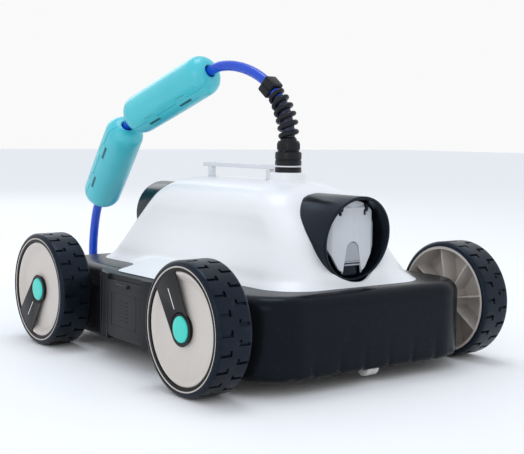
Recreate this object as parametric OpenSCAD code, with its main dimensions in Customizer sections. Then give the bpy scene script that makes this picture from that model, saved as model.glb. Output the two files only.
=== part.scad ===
// Jet-driven four-wheel pool cleaner with a floating supply cable.
// X runs along the axles, the front nozzle faces -Y, Z is up and the wheels stand on z = 0.

/* [Wheels] */
// Diameter of a tyre over its tread
wheel_d = 132; // [110:1:150]
// Width of a wheel
wheel_w = 40; // [34:1:46]
// Distance between the wheel centres across the machine
track = 356; // [350:1:420]
// Distance between the front and rear axles
wheelbase = 312; // [290:1:330]
// Thickness of the tyre at its tread
tyre_t = 5.5; // [4:0.5:8]
// Radius of a stub axle
axle_r = 6; // [4:0.5:8]
// Radius of the hub cap
cap_r = 13; // [10:0.5:16]
// How far the flat disc lies behind the wheel's outer face
dish_depth = 8; // [5:0.5:12]

/* [Base] */
// Width of the base
base_w = 294; // [270:1:296]
// Length of the base
base_l = 440; // [400:1:480]
// Underside of the base above the floor
base_z = 14; // [10:1:20]
// Top of the deck above the floor
deck_z = 97; // [85:1:105]
// Corner radius of the base in plan
base_corner_r = 52; // [40:1:60]
// Wall of the base
base_wall = 4; // [3:0.5:6]

/* [Shell] */
// Top of the shell above the floor
shell_top_z = 200; // [190:1:215]
// Wall of the shell
shell_wall = 3; // [2:0.5:4]
// Height of the boss under the cable swivel
boss_h = 10; // [6:1:16]

/* [Nozzles] */
// Outer radius of a nozzle hood
hood_r = 44.8; // [38:0.2:44.8]
// Wall of a nozzle hood
hood_wall = 3.5; // [2.5:0.5:5]
// Height of the nozzle axis above the floor
nozzle_z = 145; // [140:1:150]
// Radius of an outlet flap
flap_r = 36.5; // [32:0.5:37]
// Thickness of an outlet flap
flap_t = 2.4; // [2:0.2:4]

/* [Drive] */
// Inner radius of a water duct
duct_r = 26; // [22:1:28]
// Radius of an impeller over its blades
impeller_r = 25; // [18:0.5:25]
// Radius of a motor
motor_r = 17; // [14:0.5:19]
// Length of a motor
motor_l = 31; // [24:1:34]
// Radius of a motor shaft
shaft_r = 2; // [1.5:0.25:3]

/* [Handle and latches] */
// Length of the carry handle's bar
handle_l = 134; // [120:1:140]
// Thickness of the handle's bar
handle_t = 5; // [4:0.5:7]
// Width of a side latch
latch_w = 70; // [50:1:72]

/* [Swivel and cable] */
// Distance of the cable swivel from the middle, towards the front
swivel_y = 69; // [65:1:73]
// Radius of the swivel's collar
swivel_r = 14.8; // [13:0.1:16]
// Diameter of the cable
cable_d = 12; // [10:0.5:13]
// Diameter of a float
float_d = 51; // [40:1:60]
// Mean radius of the stored coil
coil_r = 104; // [96:1:110]

/* [Fits] */
// Radial clearance of a turning shaft in its hole
run_gap = 0.05; // [0.02:0.01:0.1]
// Gap between pieces that are fixed to each other
seat_gap = 0.05; // [0.02:0.01:0.2]
// Gap between pieces that move past each other
move_gap = 0.5; // [0.3:0.1:1]

/* [Hidden] */
$fn = 64;
fine = 96;

// Wheels. Along a wheel's own axis 0 is its middle plane and + points outwards.
wheel_r = wheel_d / 2;
half_w = wheel_w / 2;
rim_r = wheel_r - tyre_t;
rim_wall = 3;
dish_u = half_w - dish_depth;
dish_t = 2.5;
dish_r = 45;
lip_r = 52;
lip_u = half_w - 2;
ring_r = 55.5;
hub_r = 14;
hub_in_u = -half_w + 1;
axle_end_u = half_w - 7;
washer_t = 1.5;
cap_u = half_w - 4.5;
rib_count = 8;
rib_t = 2;
arm_w0 = 30;
arm_w1 = 40;
// Turn of each wheel's arm from straight up towards the rear, seen from the left side.
arm_turn_fl = 31;
arm_turn_rl = 142;
arm_turn_fr = 100;
arm_turn_rr = -40;

// Base
tub_in_z = base_z + base_wall;
deck_t = 4;
deck_under_z = deck_z - deck_t;
deck_hole = [140, 300];
base_edge_r = 14;
deck_part_z = deck_z - base_edge_r;
foot_r = 8;
lobe_r = 6;
lobe_deep = 2.4;
lobe_x = [17, 50, 84, 108];
intake_y = 50;
intake_l = 110;
intake_w = 34;
throat_t = 2.5;
throat_top_z = 30;
roller_r = 9.5;
roller_w = 16;
roller_y = base_l / 2 - 15;
roller_z = roller_r + 6.5;
roller_well = [roller_w + 6, 2 * roller_r + 5];
pin_r = 1.5;

// Filter, pump deck and housing
filter_size = [250, 388];
filter_t = 7;
mesh_t = 0.8;
pump_deck_t = 3;
pump_deck_z = deck_z + seat_gap;
pump_deck_size = [164, 330];
floor_z = pump_deck_z + pump_deck_t + seat_gap;
housing_size = [72, 84];
housing_wall = 3;
housing_top_z = nozzle_z + motor_r + 5;
gasket_t = 1.5;
lid_z = housing_top_z + gasket_t + 2 * seat_gap;
lid_t = 3;
board_size = [56, 46, 1.6];
screw_r = 1.5;
screw_head_r = 3;
deck_screw = [74, 152];
lid_screw = [32.5, 38.5];
corner_post_r = 3;

// Ducts and hoods
duct_wall = 2.5;
duct_y0 = housing_size.y / 2 + 2;
duct_y1 = 124;
duct_elbow_y = 86;
hood_y0 = duct_y1 - 3;
hood_back_t = 3;
rim_y = base_l / 2 - 33;
rim_tilt = 9;
flap_y = rim_y - 10;
flap_pivot_z = nozzle_z + flap_r - 5;
flap_barrel_r = 2.7;
flap_barrel_l = 30;
flap_half = flap_r - 4.5;
lug_t = 3;
lug_swing = 14.5;
intake_lug_swing = 14;
notch_w0 = 26;
notch_w1 = 17;
notch_top_z = nozzle_z - 3;
notch_z0 = nozzle_z - flap_r - 3;
sill_ledge_z = nozzle_z - 28;
impeller_y = 104;
impeller_hub_r = 8;
impeller_l = 14;
motor_y = housing_size.y / 2 - housing_wall - 0.5 - motor_l / 2;
seal_r = 5;

// Handle, latches and pods
bar_z = shell_top_z + boss_h + 6;
bar_y1 = handle_l - 37;
post_y = [-36, 81];
bar_w = 9;
pod_x = 170;
pod_face_half = latch_w / 2 + 2;
pod_z0 = 24;
pod_z1 = deck_z - 0.6;
latch_t = 4;
latch_pivot = [pod_x - 4, 30];
latch_z1 = pod_z1 - 6;

// Swivel
seat_z = shell_top_z + boss_h;
seat_h = 5.6;
eye_t = 1.4;
rotor_z = bar_z + eye_t + move_gap;
rotor_h = 15;
exit_z = 245;
stem_r = 8;
stem_z0 = shell_top_z - 14;
keeper_r = 11.5;

// Cable: its route from the swivel over the floats to the floor behind the machine.
cable_r = cable_d / 2;
bore_gap = 0.5;
route = [
    [0, -69, 245], [0, -68, 258], [-1, -65, 271], [-2, -59, 284], [-4, -49, 298],
    [-7, -32, 313], [-11, -10, 324], [-14, 8, 329], [-17, 25, 331], [-20, 41, 330],
    [-22, 54, 326], [-25, 72, 319], [-43, 174, 278], [-46, 192, 270], [-47, 206, 261],
    [-45, 220, 249], [-31, 300, 176], [-28, 315, 161], [-26, 328, 143], [-24, 338, 122],
    [-23, 344, 98], [-22, 348, 66], [-22, 356, 36], [-22, 378, 14], [-22, 408, 6],
    [-22, 420, 6]
];
relief_last = 4;
collar_at = [[-4, -49, 298], [-7, -32, 313]];
collar_size = [17, 20, 17];
float_1_ends = [[-22, 54, 326], [-46, 192, 270]];
float_2_ends = [[-47, 206, 261], [-28, 315, 161]];
float_wall = 3;
float_hole_r = cable_r + 1.5;

// Coil of the rest of the cable, flat on the floor, wound inwards, outwards and inwards.
coil_centre = [-22 + coil_r + 2 * cable_d, 460];
coil_across = 5 * cable_d;
coil_high = 3 * cable_d;
coil_z = 2.2;
tie_t = 1.8;
tie_w = 14;
tie_turn = 300;
tail = [[60, 518, 26], [76, 519, 21], [94, 514, 16], [112, 504, 12]];
plug_r = 11.5;
plug_l = 46;

function unit(v) = v / norm(v);

// A smooth curve through hand-placed points: tangents weighted by the neighbouring chords.
function chord(p, i) = norm(p[i + 1] - p[i]);
function heading(p, i) = unit(p[i + 1] - p[i]);
function tangent(p, i) =
    i == 0 ? heading(p, 0) :
    i == len(p) - 1 ? heading(p, i - 1) :
    (heading(p, i - 1) * chord(p, i) + heading(p, i) * chord(p, i - 1))
        / (chord(p, i - 1) + chord(p, i));
function on_curve(p, i, t) =
    (2 * t * t * t - 3 * t * t + 1) * p[i]
    + (t * t * t - 2 * t * t + t) * chord(p, i) * tangent(p, i)
    + (3 * t * t - 2 * t * t * t) * p[i + 1]
    + (t * t * t - t * t) * chord(p, i) * tangent(p, i + 1);
function smooth(p, step) = concat(
    [for (i = [0 : len(p) - 2])
        let (n = max(1, ceil(chord(p, i) / step)))
        for (k = [0 : n - 1]) on_curve(p, i, k / n)],
    [p[len(p) - 1]]);
function path_dir(c, i) = unit(c[min(i + 1, len(c) - 1)] - c[max(i - 1, 0)]);

// One ring of a swept tube round point i of curve c.
function ring(c, i, r, sides, ref) =
    let (t = path_dir(c, i), n = unit(ref - (ref * t) * t), b = cross(t, n))
    [for (k = [0 : sides - 1]) let (a = 360 * k / sides) c[i] + r * (cos(a) * n + sin(a) * b)];

// A solid tube swept along curve c.
module sweep(c, r, sides, ref = [1, 0, 0]) {
    n = len(c);
    points = [for (i = [0 : n - 1]) each ring(c, i, r, sides, ref)];
    sides_faces = [for (i = [0 : n - 2]) for (k = [0 : sides - 1])
        [i * sides + k, (i + 1) * sides + k,
         (i + 1) * sides + (k + 1) % sides, i * sides + (k + 1) % sides]];
    first = [for (k = [0 : sides - 1]) k];
    last = [for (k = [sides - 1 : -1 : 0]) (n - 1) * sides + k];
    polyhedron(points, concat(sides_faces, [first, last]), convexity = 6);
}

// A sleeve of varying outer radius round curve c, open at both ends.
module sleeve(c, outer, inner_r, sides, ref = [1, 0, 0]) {
    n = len(c);
    points = concat(
        [for (i = [0 : n - 1]) each ring(c, i, outer[i], sides, ref)],
        [for (i = [0 : n - 1]) each ring(c, i, inner_r, sides, ref)]);
    base = n * sides;
    outer_faces = [for (i = [0 : n - 2]) for (k = [0 : sides - 1])
        [i * sides + k, (i + 1) * sides + k,
         (i + 1) * sides + (k + 1) % sides, i * sides + (k + 1) % sides]];
    inner_faces = [for (i = [0 : n - 2]) for (k = [0 : sides - 1])
        [base + i * sides + (k + 1) % sides, base + (i + 1) * sides + (k + 1) % sides,
         base + (i + 1) * sides + k, base + i * sides + k]];
    start_faces = [for (k = [0 : sides - 1])
        [k, (k + 1) % sides, base + (k + 1) % sides, base + k]];
    end_faces = [for (k = [0 : sides - 1])
        let (o = (n - 1) * sides)
        [base + o + k, base + o + (k + 1) % sides, o + (k + 1) % sides, o + k]];
    polyhedron(points, concat(outer_faces, inner_faces, start_faces, end_faces), convexity = 6);
}

// Places children with their Z along the line from a to b, starting at a.
module along(a, b) {
    v = b - a;
    translate(a) rotate([0, acos(v.z / norm(v)), atan2(v.y, v.x)]) children();
}

module rounded_plate(size, r) {
    for (sx = [-1, 1], sy = [-1, 1])
        translate([sx * (size.x / 2 - r), sy * (size.y / 2 - r)]) circle(r);
    square([size.x - 2 * r, size.y], center = true);
    square([size.x, size.y - 2 * r], center = true);
}

// A cylinder along +Y that starts at y.
module y_rod(y, r, l) {
    translate([0, y, 0]) rotate([-90, 0, 0]) cylinder(r = r, h = l);
}

// A cylinder along X, centred.
module x_rod(r, l) {
    rotate([0, 90, 0]) cylinder(r = r, h = l, center = true);
}

module mirrored_y() {
    children();
    mirror([0, 1, 0]) children();
}

module mirrored_x() {
    children();
    mirror([1, 0, 0]) children();
}

// ---------------------------------------------------------------- base

// Half section of a box whose edge radius is r, at its foot or at its top.
module half_section(half, h, r, at_top) {
    intersection() {
        union() {
            square([half - r, h]);
            translate([0, at_top ? 0 : r]) square([half, h - r]);
            translate([half - r, at_top ? h - r : r]) circle(r, $fn = 32);
        }
        square([half, h]);
    }
}

// A box with round corners in plan and one round edge, from z = 0 up.
module soft_box(size, h, corner, edge, at_top) {
    for (sx = [-1, 1], sy = [-1, 1])
        translate([sx * (size.x / 2 - corner), sy * (size.y / 2 - corner), 0])
            rotate_extrude($fn = fine) half_section(corner, h, edge, at_top);
    rotate([90, 0, 90]) linear_extrude(size.x - 2 * corner, center = true)
        mirrored_x() half_section(size.y / 2, h, edge, at_top);
    rotate([90, 0, 0]) linear_extrude(size.y - 2 * corner, center = true)
        mirrored_x() half_section(size.x / 2, h, edge, at_top);
}

// Lower tray with the intakes, the castor rollers and the axle bores.
module base_tub() {
    h = deck_part_z - seat_gap - base_z;
    color("#15171b") difference() {
        translate([0, 0, base_z]) soft_box([base_w, base_l], h, base_corner_r, foot_r, false);
        difference() {
            translate([0, 0, tub_in_z]) linear_extrude(deck_z - tub_in_z)
                rounded_plate([base_w - 2 * base_wall, base_l - 2 * base_wall],
                              base_corner_r - base_wall);
            mirrored_y() intake_throat();
            mirrored_y() roller_box();
        }
        mirrored_y() intake_hole();
        mirrored_y() roller_hole();
        mirrored_y() for (x = lobe_x, s = [-1, 1])
            translate([s * x, base_l / 2 - 20, base_z - lobe_r + lobe_deep])
                y_rod(0, lobe_r, 30);
        for (sy = [-1, 1]) translate([0, sy * wheelbase / 2, wheel_r])
            x_rod(axle_r + seat_gap, base_w + 2);
        mirrored_y() roller_pin_hole();
        mirrored_y() intake_pin_hole();
    }
}

// Upper frame of the base: the round edge and the deck that carries the pumps and the shell.
module base_deck() {
    color("#15171b") difference() {
        translate([0, 0, deck_part_z])
            soft_box([base_w, base_l], base_edge_r, base_corner_r, base_edge_r, true);
        translate([0, 0, deck_part_z - 1]) linear_extrude(deck_under_z - deck_part_z + 1)
            rounded_plate([base_w - 2 * base_edge_r, base_l - 2 * base_edge_r],
                          base_corner_r - base_edge_r);
        translate([0, 0, deck_under_z - 1]) linear_extrude(deck_t + 2)
            rounded_plate(deck_hole, 10);
        for (sx = [-1, 1], sy = [-1, 1])
            translate([sx * deck_screw.x, sy * deck_screw.y, deck_under_z - 1])
                cylinder(r = screw_r + seat_gap, h = deck_t + 2);
    }
}

module intake_throat() {
    translate([0, intake_y, tub_in_z - 1]) linear_extrude(throat_top_z - tub_in_z + 1)
        square([intake_l + 2 * throat_t, intake_w + 2 * throat_t], center = true);
    for (s = [-1, 1])
        translate([s * (intake_l / 2 + throat_t / 2 + 1), intake_y + intake_w / 2 + 6,
                   (tub_in_z + throat_top_z + 6) / 2 - 0.5])
            cube([throat_t + 2, 10, throat_top_z + 7 - tub_in_z], center = true);
}

module intake_hole() {
    translate([0, intake_y, base_z - 1]) linear_extrude(throat_top_z - base_z + 2)
        square([intake_l, intake_w], center = true);
}

module intake_pin_hole() {
    translate([0, intake_y + intake_w / 2 + 6, throat_top_z + 3])
        x_rod(pin_r + seat_gap, intake_l + 20);
}

module roller_box() {
    translate([0, roller_y, tub_in_z - 1]) linear_extrude(2 * roller_r + 1)
        square([roller_well.x + 2 * base_wall, roller_well.y + 2 * base_wall], center = true);
}

module roller_hole() {
    translate([0, roller_y, base_z - 1]) linear_extrude(roller_z + roller_r + 2 - base_z)
        square(roller_well, center = true);
}

module roller_pin_hole() {
    translate([0, roller_y, roller_z]) x_rod(pin_r + seat_gap, roller_well.x + 6);
}

module pump_deck() {
    color("#3a3e44") difference() {
        translate([0, 0, pump_deck_z]) linear_extrude(pump_deck_t)
            rounded_plate(pump_deck_size, 12);
        mirrored_y() translate([-duct_r, duct_y0 + duct_wall, pump_deck_z - 1])
            cube([2 * duct_r, duct_elbow_y - duct_y0 - 2 * duct_wall, pump_deck_t + 2]);
        for (sx = [-1, 1], sy = [-1, 1])
            translate([sx * deck_screw.x, sy * deck_screw.y, pump_deck_z - 1])
                cylinder(r = screw_r + seat_gap, h = pump_deck_t + 2);
    }
}

module filter_frame() {
    z0 = deck_under_z - seat_gap - filter_t;
    bay = [(filter_size.x - 4 * 8) / 3, (filter_size.y - 5 * 8) / 4];
    color("#7f8b94") translate([0, 0, z0]) linear_extrude(filter_t) difference() {
        rounded_plate(filter_size, 36);
        for (i = [-1 : 1], j = [-1.5 : 1.5])
            translate([i * (bay.x + 8), j * (bay.y + 8)])
                square([bay.x - (i == 0 ? 0 : 14), bay.y - (abs(j) > 1 ? 14 : 0)], center = true);
    }
}

module filter_mesh() {
    z0 = deck_under_z - 2 * seat_gap - filter_t - mesh_t;
    color("#b9c3c9") translate([0, 0, z0]) linear_extrude(mesh_t)
        rounded_plate([filter_size.x - 6, filter_size.y - 6], 33);
}

// ---------------------------------------------------------------- shell

// Height, half width, half length and corner radius of the shell, from the foot to the top.
function shell_keys() = let (h = shell_top_z - deck_z) [
    [0, 102, 196, 44], [0.03, 99, 191, 43], [0.08, 94.5, 184.5, 42], [0.17, 90, 178, 41],
    [0.30, 82, 172, 40], [0.44, 74.5, 165, 38], [0.57, 71, 153, 37], [0.70, 69, 138, 36],
    [0.80, 65, 128, 35], [0.88, 58, 118.5, 34], [0.94, 49, 108, 31], [0.98, 37, 97, 27],
    [1, 24, 86.5, 20]];

// The foot spreads to meet the side pods over this stretch of the length.
function ear(y) = let (u = (abs(y) - 40) / 58) u < 0 ? 1 : u > 1 ? 0 : (1 + cos(180 * u)) / 2;
function ear_out(f) = 50 * pow(max(0, 1 - f / 0.16), 3);

function half_outline(a, b, r, out, arc = 8, run = 18) = concat(
    [[0, -b]],
    [for (i = [0 : arc]) let (t = -90 + 90 * i / arc)
        let (y = -(b - r) + r * sin(t)) [a - r + r * cos(t) + out * ear(y), y]],
    [for (i = [1 : run - 1]) let (y = -(b - r) + 2 * (b - r) * i / run) [a + out * ear(y), y]],
    [for (i = [0 : arc]) let (t = 90 * i / arc)
        let (y = b - r + r * sin(t)) [a - r + r * cos(t) + out * ear(y), y]],
    [[0, b]]);
function full_outline(a, b, r, out) =
    let (h = half_outline(a, b, r, out), n = len(h))
    concat(h, [for (i = [n - 2 : -1 : 1]) [-h[i].x, h[i].y]]);

module shell_body() {
    keys = shell_keys();
    high = shell_top_z - deck_z;
    rise = high - shell_wall;
    outer = [for (k = keys) [for (p = full_outline(k[1], k[2], k[3], ear_out(k[0])))
        [p.x, p.y, deck_z + k[0] * high]]];
    inner = [for (k = keys)
        [for (p = full_outline(k[1] - shell_wall, k[2] - shell_wall, k[3] - shell_wall,
                               ear_out(k[0])))
            [p.x, p.y, deck_z + k[0] * rise]]];
    m = len(outer[0]);
    n = len(keys);
    points = concat([for (o = outer) each o], [for (i = inner) each i]);
    base = n * m;
    walls = [for (i = [0 : n - 2]) for (k = [0 : m - 1])
        [i * m + k, (i + 1) * m + k, (i + 1) * m + (k + 1) % m, i * m + (k + 1) % m]];
    lining = [for (i = [0 : n - 2]) for (k = [0 : m - 1])
        [base + i * m + (k + 1) % m, base + (i + 1) * m + (k + 1) % m,
         base + (i + 1) * m + k, base + i * m + k]];
    foot = [for (k = [0 : m - 1]) [k, (k + 1) % m, base + (k + 1) % m, base + k]];
    top = [[for (k = [m - 1 : -1 : 0]) (n - 1) * m + k]];
    ceiling = [[for (k = [0 : m - 1]) base + (n - 1) * m + k]];
    polyhedron(points, concat(walls, lining, foot, top, ceiling), convexity = 8);
}

module top_shell() {
    color("#eceef1") difference() {
        union() {
            shell_body();
            translate([0, -swivel_y, shell_top_z - shell_wall])
                cylinder(r = swivel_r + 5.5, h = shell_wall + boss_h - seat_gap, $fn = fine);
        }
        translate([0, -swivel_y, shell_top_z - shell_wall - 8])
            cylinder(r = stem_r + 1, h = boss_h + 20);
        mirrored_y() translate([0, 0, nozzle_z])
            y_rod(hood_y0 - 1, hood_r + 3 * seat_gap, 120);
    }
}

module handle() {
    color("#e4e6e8") difference() {
        union() {
            translate([-bar_w / 2, -swivel_y, bar_z - handle_t + eye_t])
                cube([bar_w, bar_y1 + swivel_y, handle_t]);
            for (y = post_y)
                translate([-bar_w / 2 + 1, y - 4, shell_top_z + seat_gap])
                    cube([bar_w - 2, 8, bar_z - shell_top_z - 1]);
            translate([0, -swivel_y, bar_z]) cylinder(r = swivel_r + 0.8, h = eye_t, $fn = fine);
        }
        translate([0, -swivel_y, bar_z - 20]) cylinder(r = stem_r + move_gap, h = 40);
        translate([0, -swivel_y, bar_z - 20]) cylinder(r = swivel_r + 1.2, h = 20);
    }
}

// ---------------------------------------------------------------- nozzles

module hood_tube() {
    difference() {
        union() {
            translate([0, 0, nozzle_z]) difference() {
                y_rod(hood_y0, hood_r, rim_y + 30 - hood_y0);
                y_rod(hood_y0 + hood_back_t, hood_r - hood_wall, rim_y + 30 - hood_y0);
            }
            sill_foot();
        }
        translate([0, 0, nozzle_z]) y_rod(hood_y0 - 1, duct_r + duct_wall + 3 * seat_gap, 6);
        translate([0, rim_y, nozzle_z]) rotate([-rim_tilt, 0, 0])
            translate([0, 40, 0]) cube([200, 80, 200], center = true);
    }
    for (s = [-1, 1]) flap_lug(s * (flap_barrel_l / 2 + move_gap + lug_t / 2));
}

// A lug that hangs from the hood's ceiling at x and holds one end of the flap's pin.
module flap_lug(x) {
    difference() {
        intersection() {
            translate([x - lug_t / 2, flap_y - 4, flap_pivot_z - 3.5]) cube([lug_t, 8, hood_r]);
            translate([0, 0, nozzle_z]) y_rod(hood_y0, hood_r - hood_wall / 2, rim_y - hood_y0);
        }
        translate([x, flap_y, flap_pivot_z]) x_rod(pin_r + seat_gap, lug_t + 2);
    }
}

// Black block at the bottom of the mouth that carries the sill.
module sill_foot() {
    intersection() {
        translate([-notch_w0 / 2 + 3, flap_y - 12, nozzle_z - hood_r + 1])
            cube([notch_w0 - 6, 10, sill_ledge_z - nozzle_z + hood_r - 1]);
        translate([0, 0, nozzle_z]) y_rod(hood_y0, hood_r - 1, 120);
    }
}

module hood_front() {
    color("#14171c") mirror([0, 1, 0]) hood_tube();
}

module hood_rear() {
    color("#14171c") hood_tube();
}

// Half width of a flap's notch at height z below its round top.
function notch_half(z) =
    let (z0 = nozzle_z - flap_r, z1 = notch_top_z - notch_w1 / 2)
    notch_w0 / 2 + (notch_w1 - notch_w0) / 2 * (z - z0) / (z1 - z0);

// The fixed tongue that fills the notch of a flap, with a ledge behind its foot.
module sill() {
    z1 = notch_top_z - notch_w1 / 2;
    low = notch_half(sill_ledge_z) - move_gap;
    high = notch_w1 / 2 - move_gap;
    translate([0, flap_y - flap_t / 2, 0]) rotate([90, 0, 180]) linear_extrude(flap_t) {
        polygon([[-low, sill_ledge_z], [low, sill_ledge_z], [high, z1], [-high, z1]]);
        translate([0, z1]) circle(high);
    }
    translate([-low + 1, flap_y - 12, sill_ledge_z + seat_gap])
        cube([2 * low - 2, 11, 4.5]);
}

module outlet_sills() {
    color("#b9bec4") mirrored_y() sill();
}

module flap_plate() {
    difference() {
        union() {
            translate([0, flap_y, 0]) rotate([90, 0, 0]) linear_extrude(flap_t, center = true)
                difference() {
                    intersection() {
                        translate([0, nozzle_z]) circle(flap_r);
                        polygon([[-flap_half, nozzle_z - 14], [-18, nozzle_z - flap_r],
                            [18, nozzle_z - flap_r], [flap_half, nozzle_z - 14],
                            [flap_half, flap_pivot_z], [-flap_half, flap_pivot_z]]);
                    }
                    translate([0, notch_top_z - notch_w1 / 2]) circle(notch_w1 / 2);
                    polygon([[-notch_half(notch_z0), notch_z0], [notch_half(notch_z0), notch_z0],
                             [notch_w1 / 2, notch_top_z - notch_w1 / 2],
                             [-notch_w1 / 2, notch_top_z - notch_w1 / 2]]);
                    for (s = [-1, 1])
                        translate([s * (flap_barrel_l / 2 + lug_t / 2 + move_gap), flap_pivot_z])
                            square([lug_t + 2 * move_gap, lug_swing], center = true);
                }
            translate([0, flap_y, flap_pivot_z]) x_rod(flap_barrel_r, flap_barrel_l);
        }
        translate([0, flap_y, flap_pivot_z]) x_rod(pin_r + run_gap, 2 * flap_r);
    }
}

module outlet_flap_front() {
    color("#c9ced4") mirror([0, 1, 0]) flap_plate();
}

module outlet_flap_rear() {
    color("#c9ced4") flap_plate();
}

module intake_flap() {
    y1 = intake_y + intake_w / 2 + 6;
    z1 = throat_top_z + 3;
    difference() {
        union() {
            translate([-intake_l / 2 - 1.5, intake_y - intake_w / 2 - 2, throat_top_z + 0.3])
                cube([intake_l + 3, y1 - intake_y + intake_w / 2 + 2, 1.8]);
            translate([0, y1, z1]) x_rod(2.7, intake_l + 1);
        }
        translate([0, y1, z1]) x_rod(pin_r + run_gap, intake_l + 20);
        for (s = [-1, 1])
            translate([s * (intake_l / 2 + throat_t / 2 + 1), y1, z1])
                cube([throat_t + 2 + 2 * move_gap, intake_lug_swing, 20], center = true);
    }
}

module intake_flap_front() {
    color("#2e3338") mirror([0, 1, 0]) intake_flap();
}

module intake_flap_rear() {
    color("#2e3338") intake_flap();
}

// ---------------------------------------------------------------- drive

module motor_housing() {
    color("#33373d") difference() {
        union() {
            translate([0, 0, floor_z]) linear_extrude(housing_top_z - floor_z) difference() {
                rounded_plate(housing_size, 6);
                rounded_plate([housing_size.x - 2 * housing_wall,
                               housing_size.y - 2 * housing_wall], 3);
            }
            translate([0, 0, floor_z]) linear_extrude(housing_wall)
                rounded_plate(housing_size, 6);
            for (sx = [-1, 1], sy = [-1, 1])
                translate([sx * lid_screw.x, sy * lid_screw.y, floor_z])
                    cylinder(r = corner_post_r, h = housing_top_z - floor_z);
        }
        for (sx = [-1, 1], sy = [-1, 1])
            translate([sx * lid_screw.x, sy * lid_screw.y, housing_top_z - 12])
                cylinder(r = screw_r + seat_gap, h = 14);
        translate([0, 0, nozzle_z])
            y_rod(-housing_size.y, seal_r + seat_gap, 2 * housing_size.y);
    }
}

module lid_outline() {
    difference() {
        rounded_plate(housing_size, 6);
        for (sx = [-1, 1], sy = [-1, 1])
            translate([sx * lid_screw.x, sy * lid_screw.y]) circle(screw_r + seat_gap);
    }
}

module housing_gasket() {
    color("#1b1b1b") translate([0, 0, housing_top_z + seat_gap]) linear_extrude(gasket_t)
        difference() {
            lid_outline();
            rounded_plate([housing_size.x - 18, housing_size.y - 18], 3);
        }
}

module housing_lid() {
    color("#33373d") difference() {
        translate([0, 0, lid_z]) linear_extrude(lid_t) lid_outline();
        translate([0, -24, lid_z - 1]) cylinder(r = 3.2, h = lid_t + 2);
    }
}

module motors() {
    color("#8b9299") mirrored_y() translate([0, 0, nozzle_z]) difference() {
        y_rod(motor_y - motor_l / 2, motor_r, motor_l);
        y_rod(motor_y - motor_l / 2 + 4, shaft_r + run_gap, motor_l);
    }
}

module control_board() {
    z0 = floor_z + housing_wall + seat_gap;
    color("#1f6b3a") {
        translate([-board_size.x / 2, -board_size.y / 2, z0]) cube(board_size);
        for (p = [[-18, -12], [-16, 10], [8, -4]])
            translate([p.x, p.y, z0 + board_size.z]) cube([12, 9, 4]);
        translate([14, 6, z0 + board_size.z]) cylinder(r = 5, h = 9);
    }
}

module shaft_seals() {
    color("#20242a") mirrored_y() translate([0, 0, nozzle_z]) difference() {
        y_rod(housing_size.y / 2 - housing_wall, seal_r, housing_wall + 1);
        y_rod(0, shaft_r + run_gap, housing_size.y);
    }
}

module duct() {
    z = nozzle_z;
    difference() {
        union() {
            translate([0, 0, z]) y_rod(duct_y0, duct_r + duct_wall, duct_y1 - duct_y0);
            translate([-duct_r - duct_wall, duct_y0, floor_z])
                cube([2 * (duct_r + duct_wall), duct_elbow_y - duct_y0, z - floor_z]);
        }
        translate([0, 0, z]) y_rod(duct_y0 + duct_wall, duct_r, duct_y1);
        translate([-duct_r, duct_y0 + duct_wall, floor_z - 1])
            cube([2 * duct_r, duct_elbow_y - duct_y0 - 2 * duct_wall, z - floor_z + 1]);
        translate([0, 0, z]) y_rod(0, shaft_r + 1, 80);
    }
}

module duct_front() {
    color("#4a5057") mirror([0, 1, 0]) duct();
}

module duct_rear() {
    color("#4a5057") duct();
}

// Impeller with its shaft, which runs through the seal into the motor.
module impeller() {
    shaft_y0 = motor_y - motor_l / 2 + 5;
    translate([0, 0, nozzle_z]) {
        y_rod(shaft_y0, shaft_r, impeller_y - shaft_y0);
        y_rod(impeller_y - impeller_l / 2, impeller_hub_r, impeller_l);
        for (k = [0 : 3]) rotate([0, 90 * k, 0]) translate([0, impeller_y, 0])
            intersection() {
                rotate([0, 0, 32]) translate([-1, -impeller_l, 0])
                    cube([2, 2 * impeller_l, impeller_r]);
                translate([0, 0, impeller_hub_r - 1]) linear_extrude(impeller_r)
                    square([16, impeller_l - 2], center = true);
                rotate([90, 0, 0]) cylinder(r = impeller_r, h = 40, center = true);
            }
    }
}

module impeller_front() {
    color("#d8dde1") mirror([0, 1, 0]) impeller();
}

module impeller_rear() {
    color("#d8dde1") impeller();
}

// ---------------------------------------------------------------- wheels

module tyre() {
    e = 5;
    profile = [
        [rim_r + seat_gap, -half_w + 1], [wheel_r - e, -half_w],
        each [for (i = [0 : 4]) let (t = -90 + 22.5 * i)
            [wheel_r - e + e * cos(t), -half_w + e + e * sin(t)]],
        each [for (i = [0 : 4]) let (t = 22.5 * i)
            [wheel_r - e + e * cos(t), half_w - e + e * sin(t)]],
        [rim_r + seat_gap, half_w - 1]
    ];
    rotate_extrude($fn = fine) polygon([for (i = [0 : len(profile) - 1]) if (i != 1) profile[i]]);
}

module rim() {
    difference() {
        union() {
            rotate_extrude($fn = fine) polygon([
                [rim_r, -half_w + 0.6], [rim_r, half_w - 0.6],
                [ring_r + 3.5, half_w - 0.6], [ring_r + 3.5, half_w - 5],
                [ring_r, half_w - 5], [ring_r, lip_u], [lip_r, lip_u], [dish_r, dish_u],
                [hub_r - 2, dish_u], [hub_r - 2, dish_u - dish_t],
                [dish_r, dish_u - dish_t], [lip_r + 1.5, lip_u - 6],
                [rim_r - rim_wall, lip_u - 8], [rim_r - rim_wall, -half_w + 0.6]]);
            translate([0, 0, hub_in_u]) cylinder(r = hub_r, h = axle_end_u - hub_in_u);
            for (k = [0 : rib_count - 1]) rotate([0, 0, 360 * k / rib_count])
                translate([hub_r - 1, -rib_t / 2, -half_w + 8])
                    cube([rim_r - rim_wall - hub_r + 2, rib_t, dish_u - dish_t + half_w - 7]);
        }
        translate([0, 0, -half_w - 1]) cylinder(r = axle_r + run_gap, h = wheel_w);
    }
}

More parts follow.
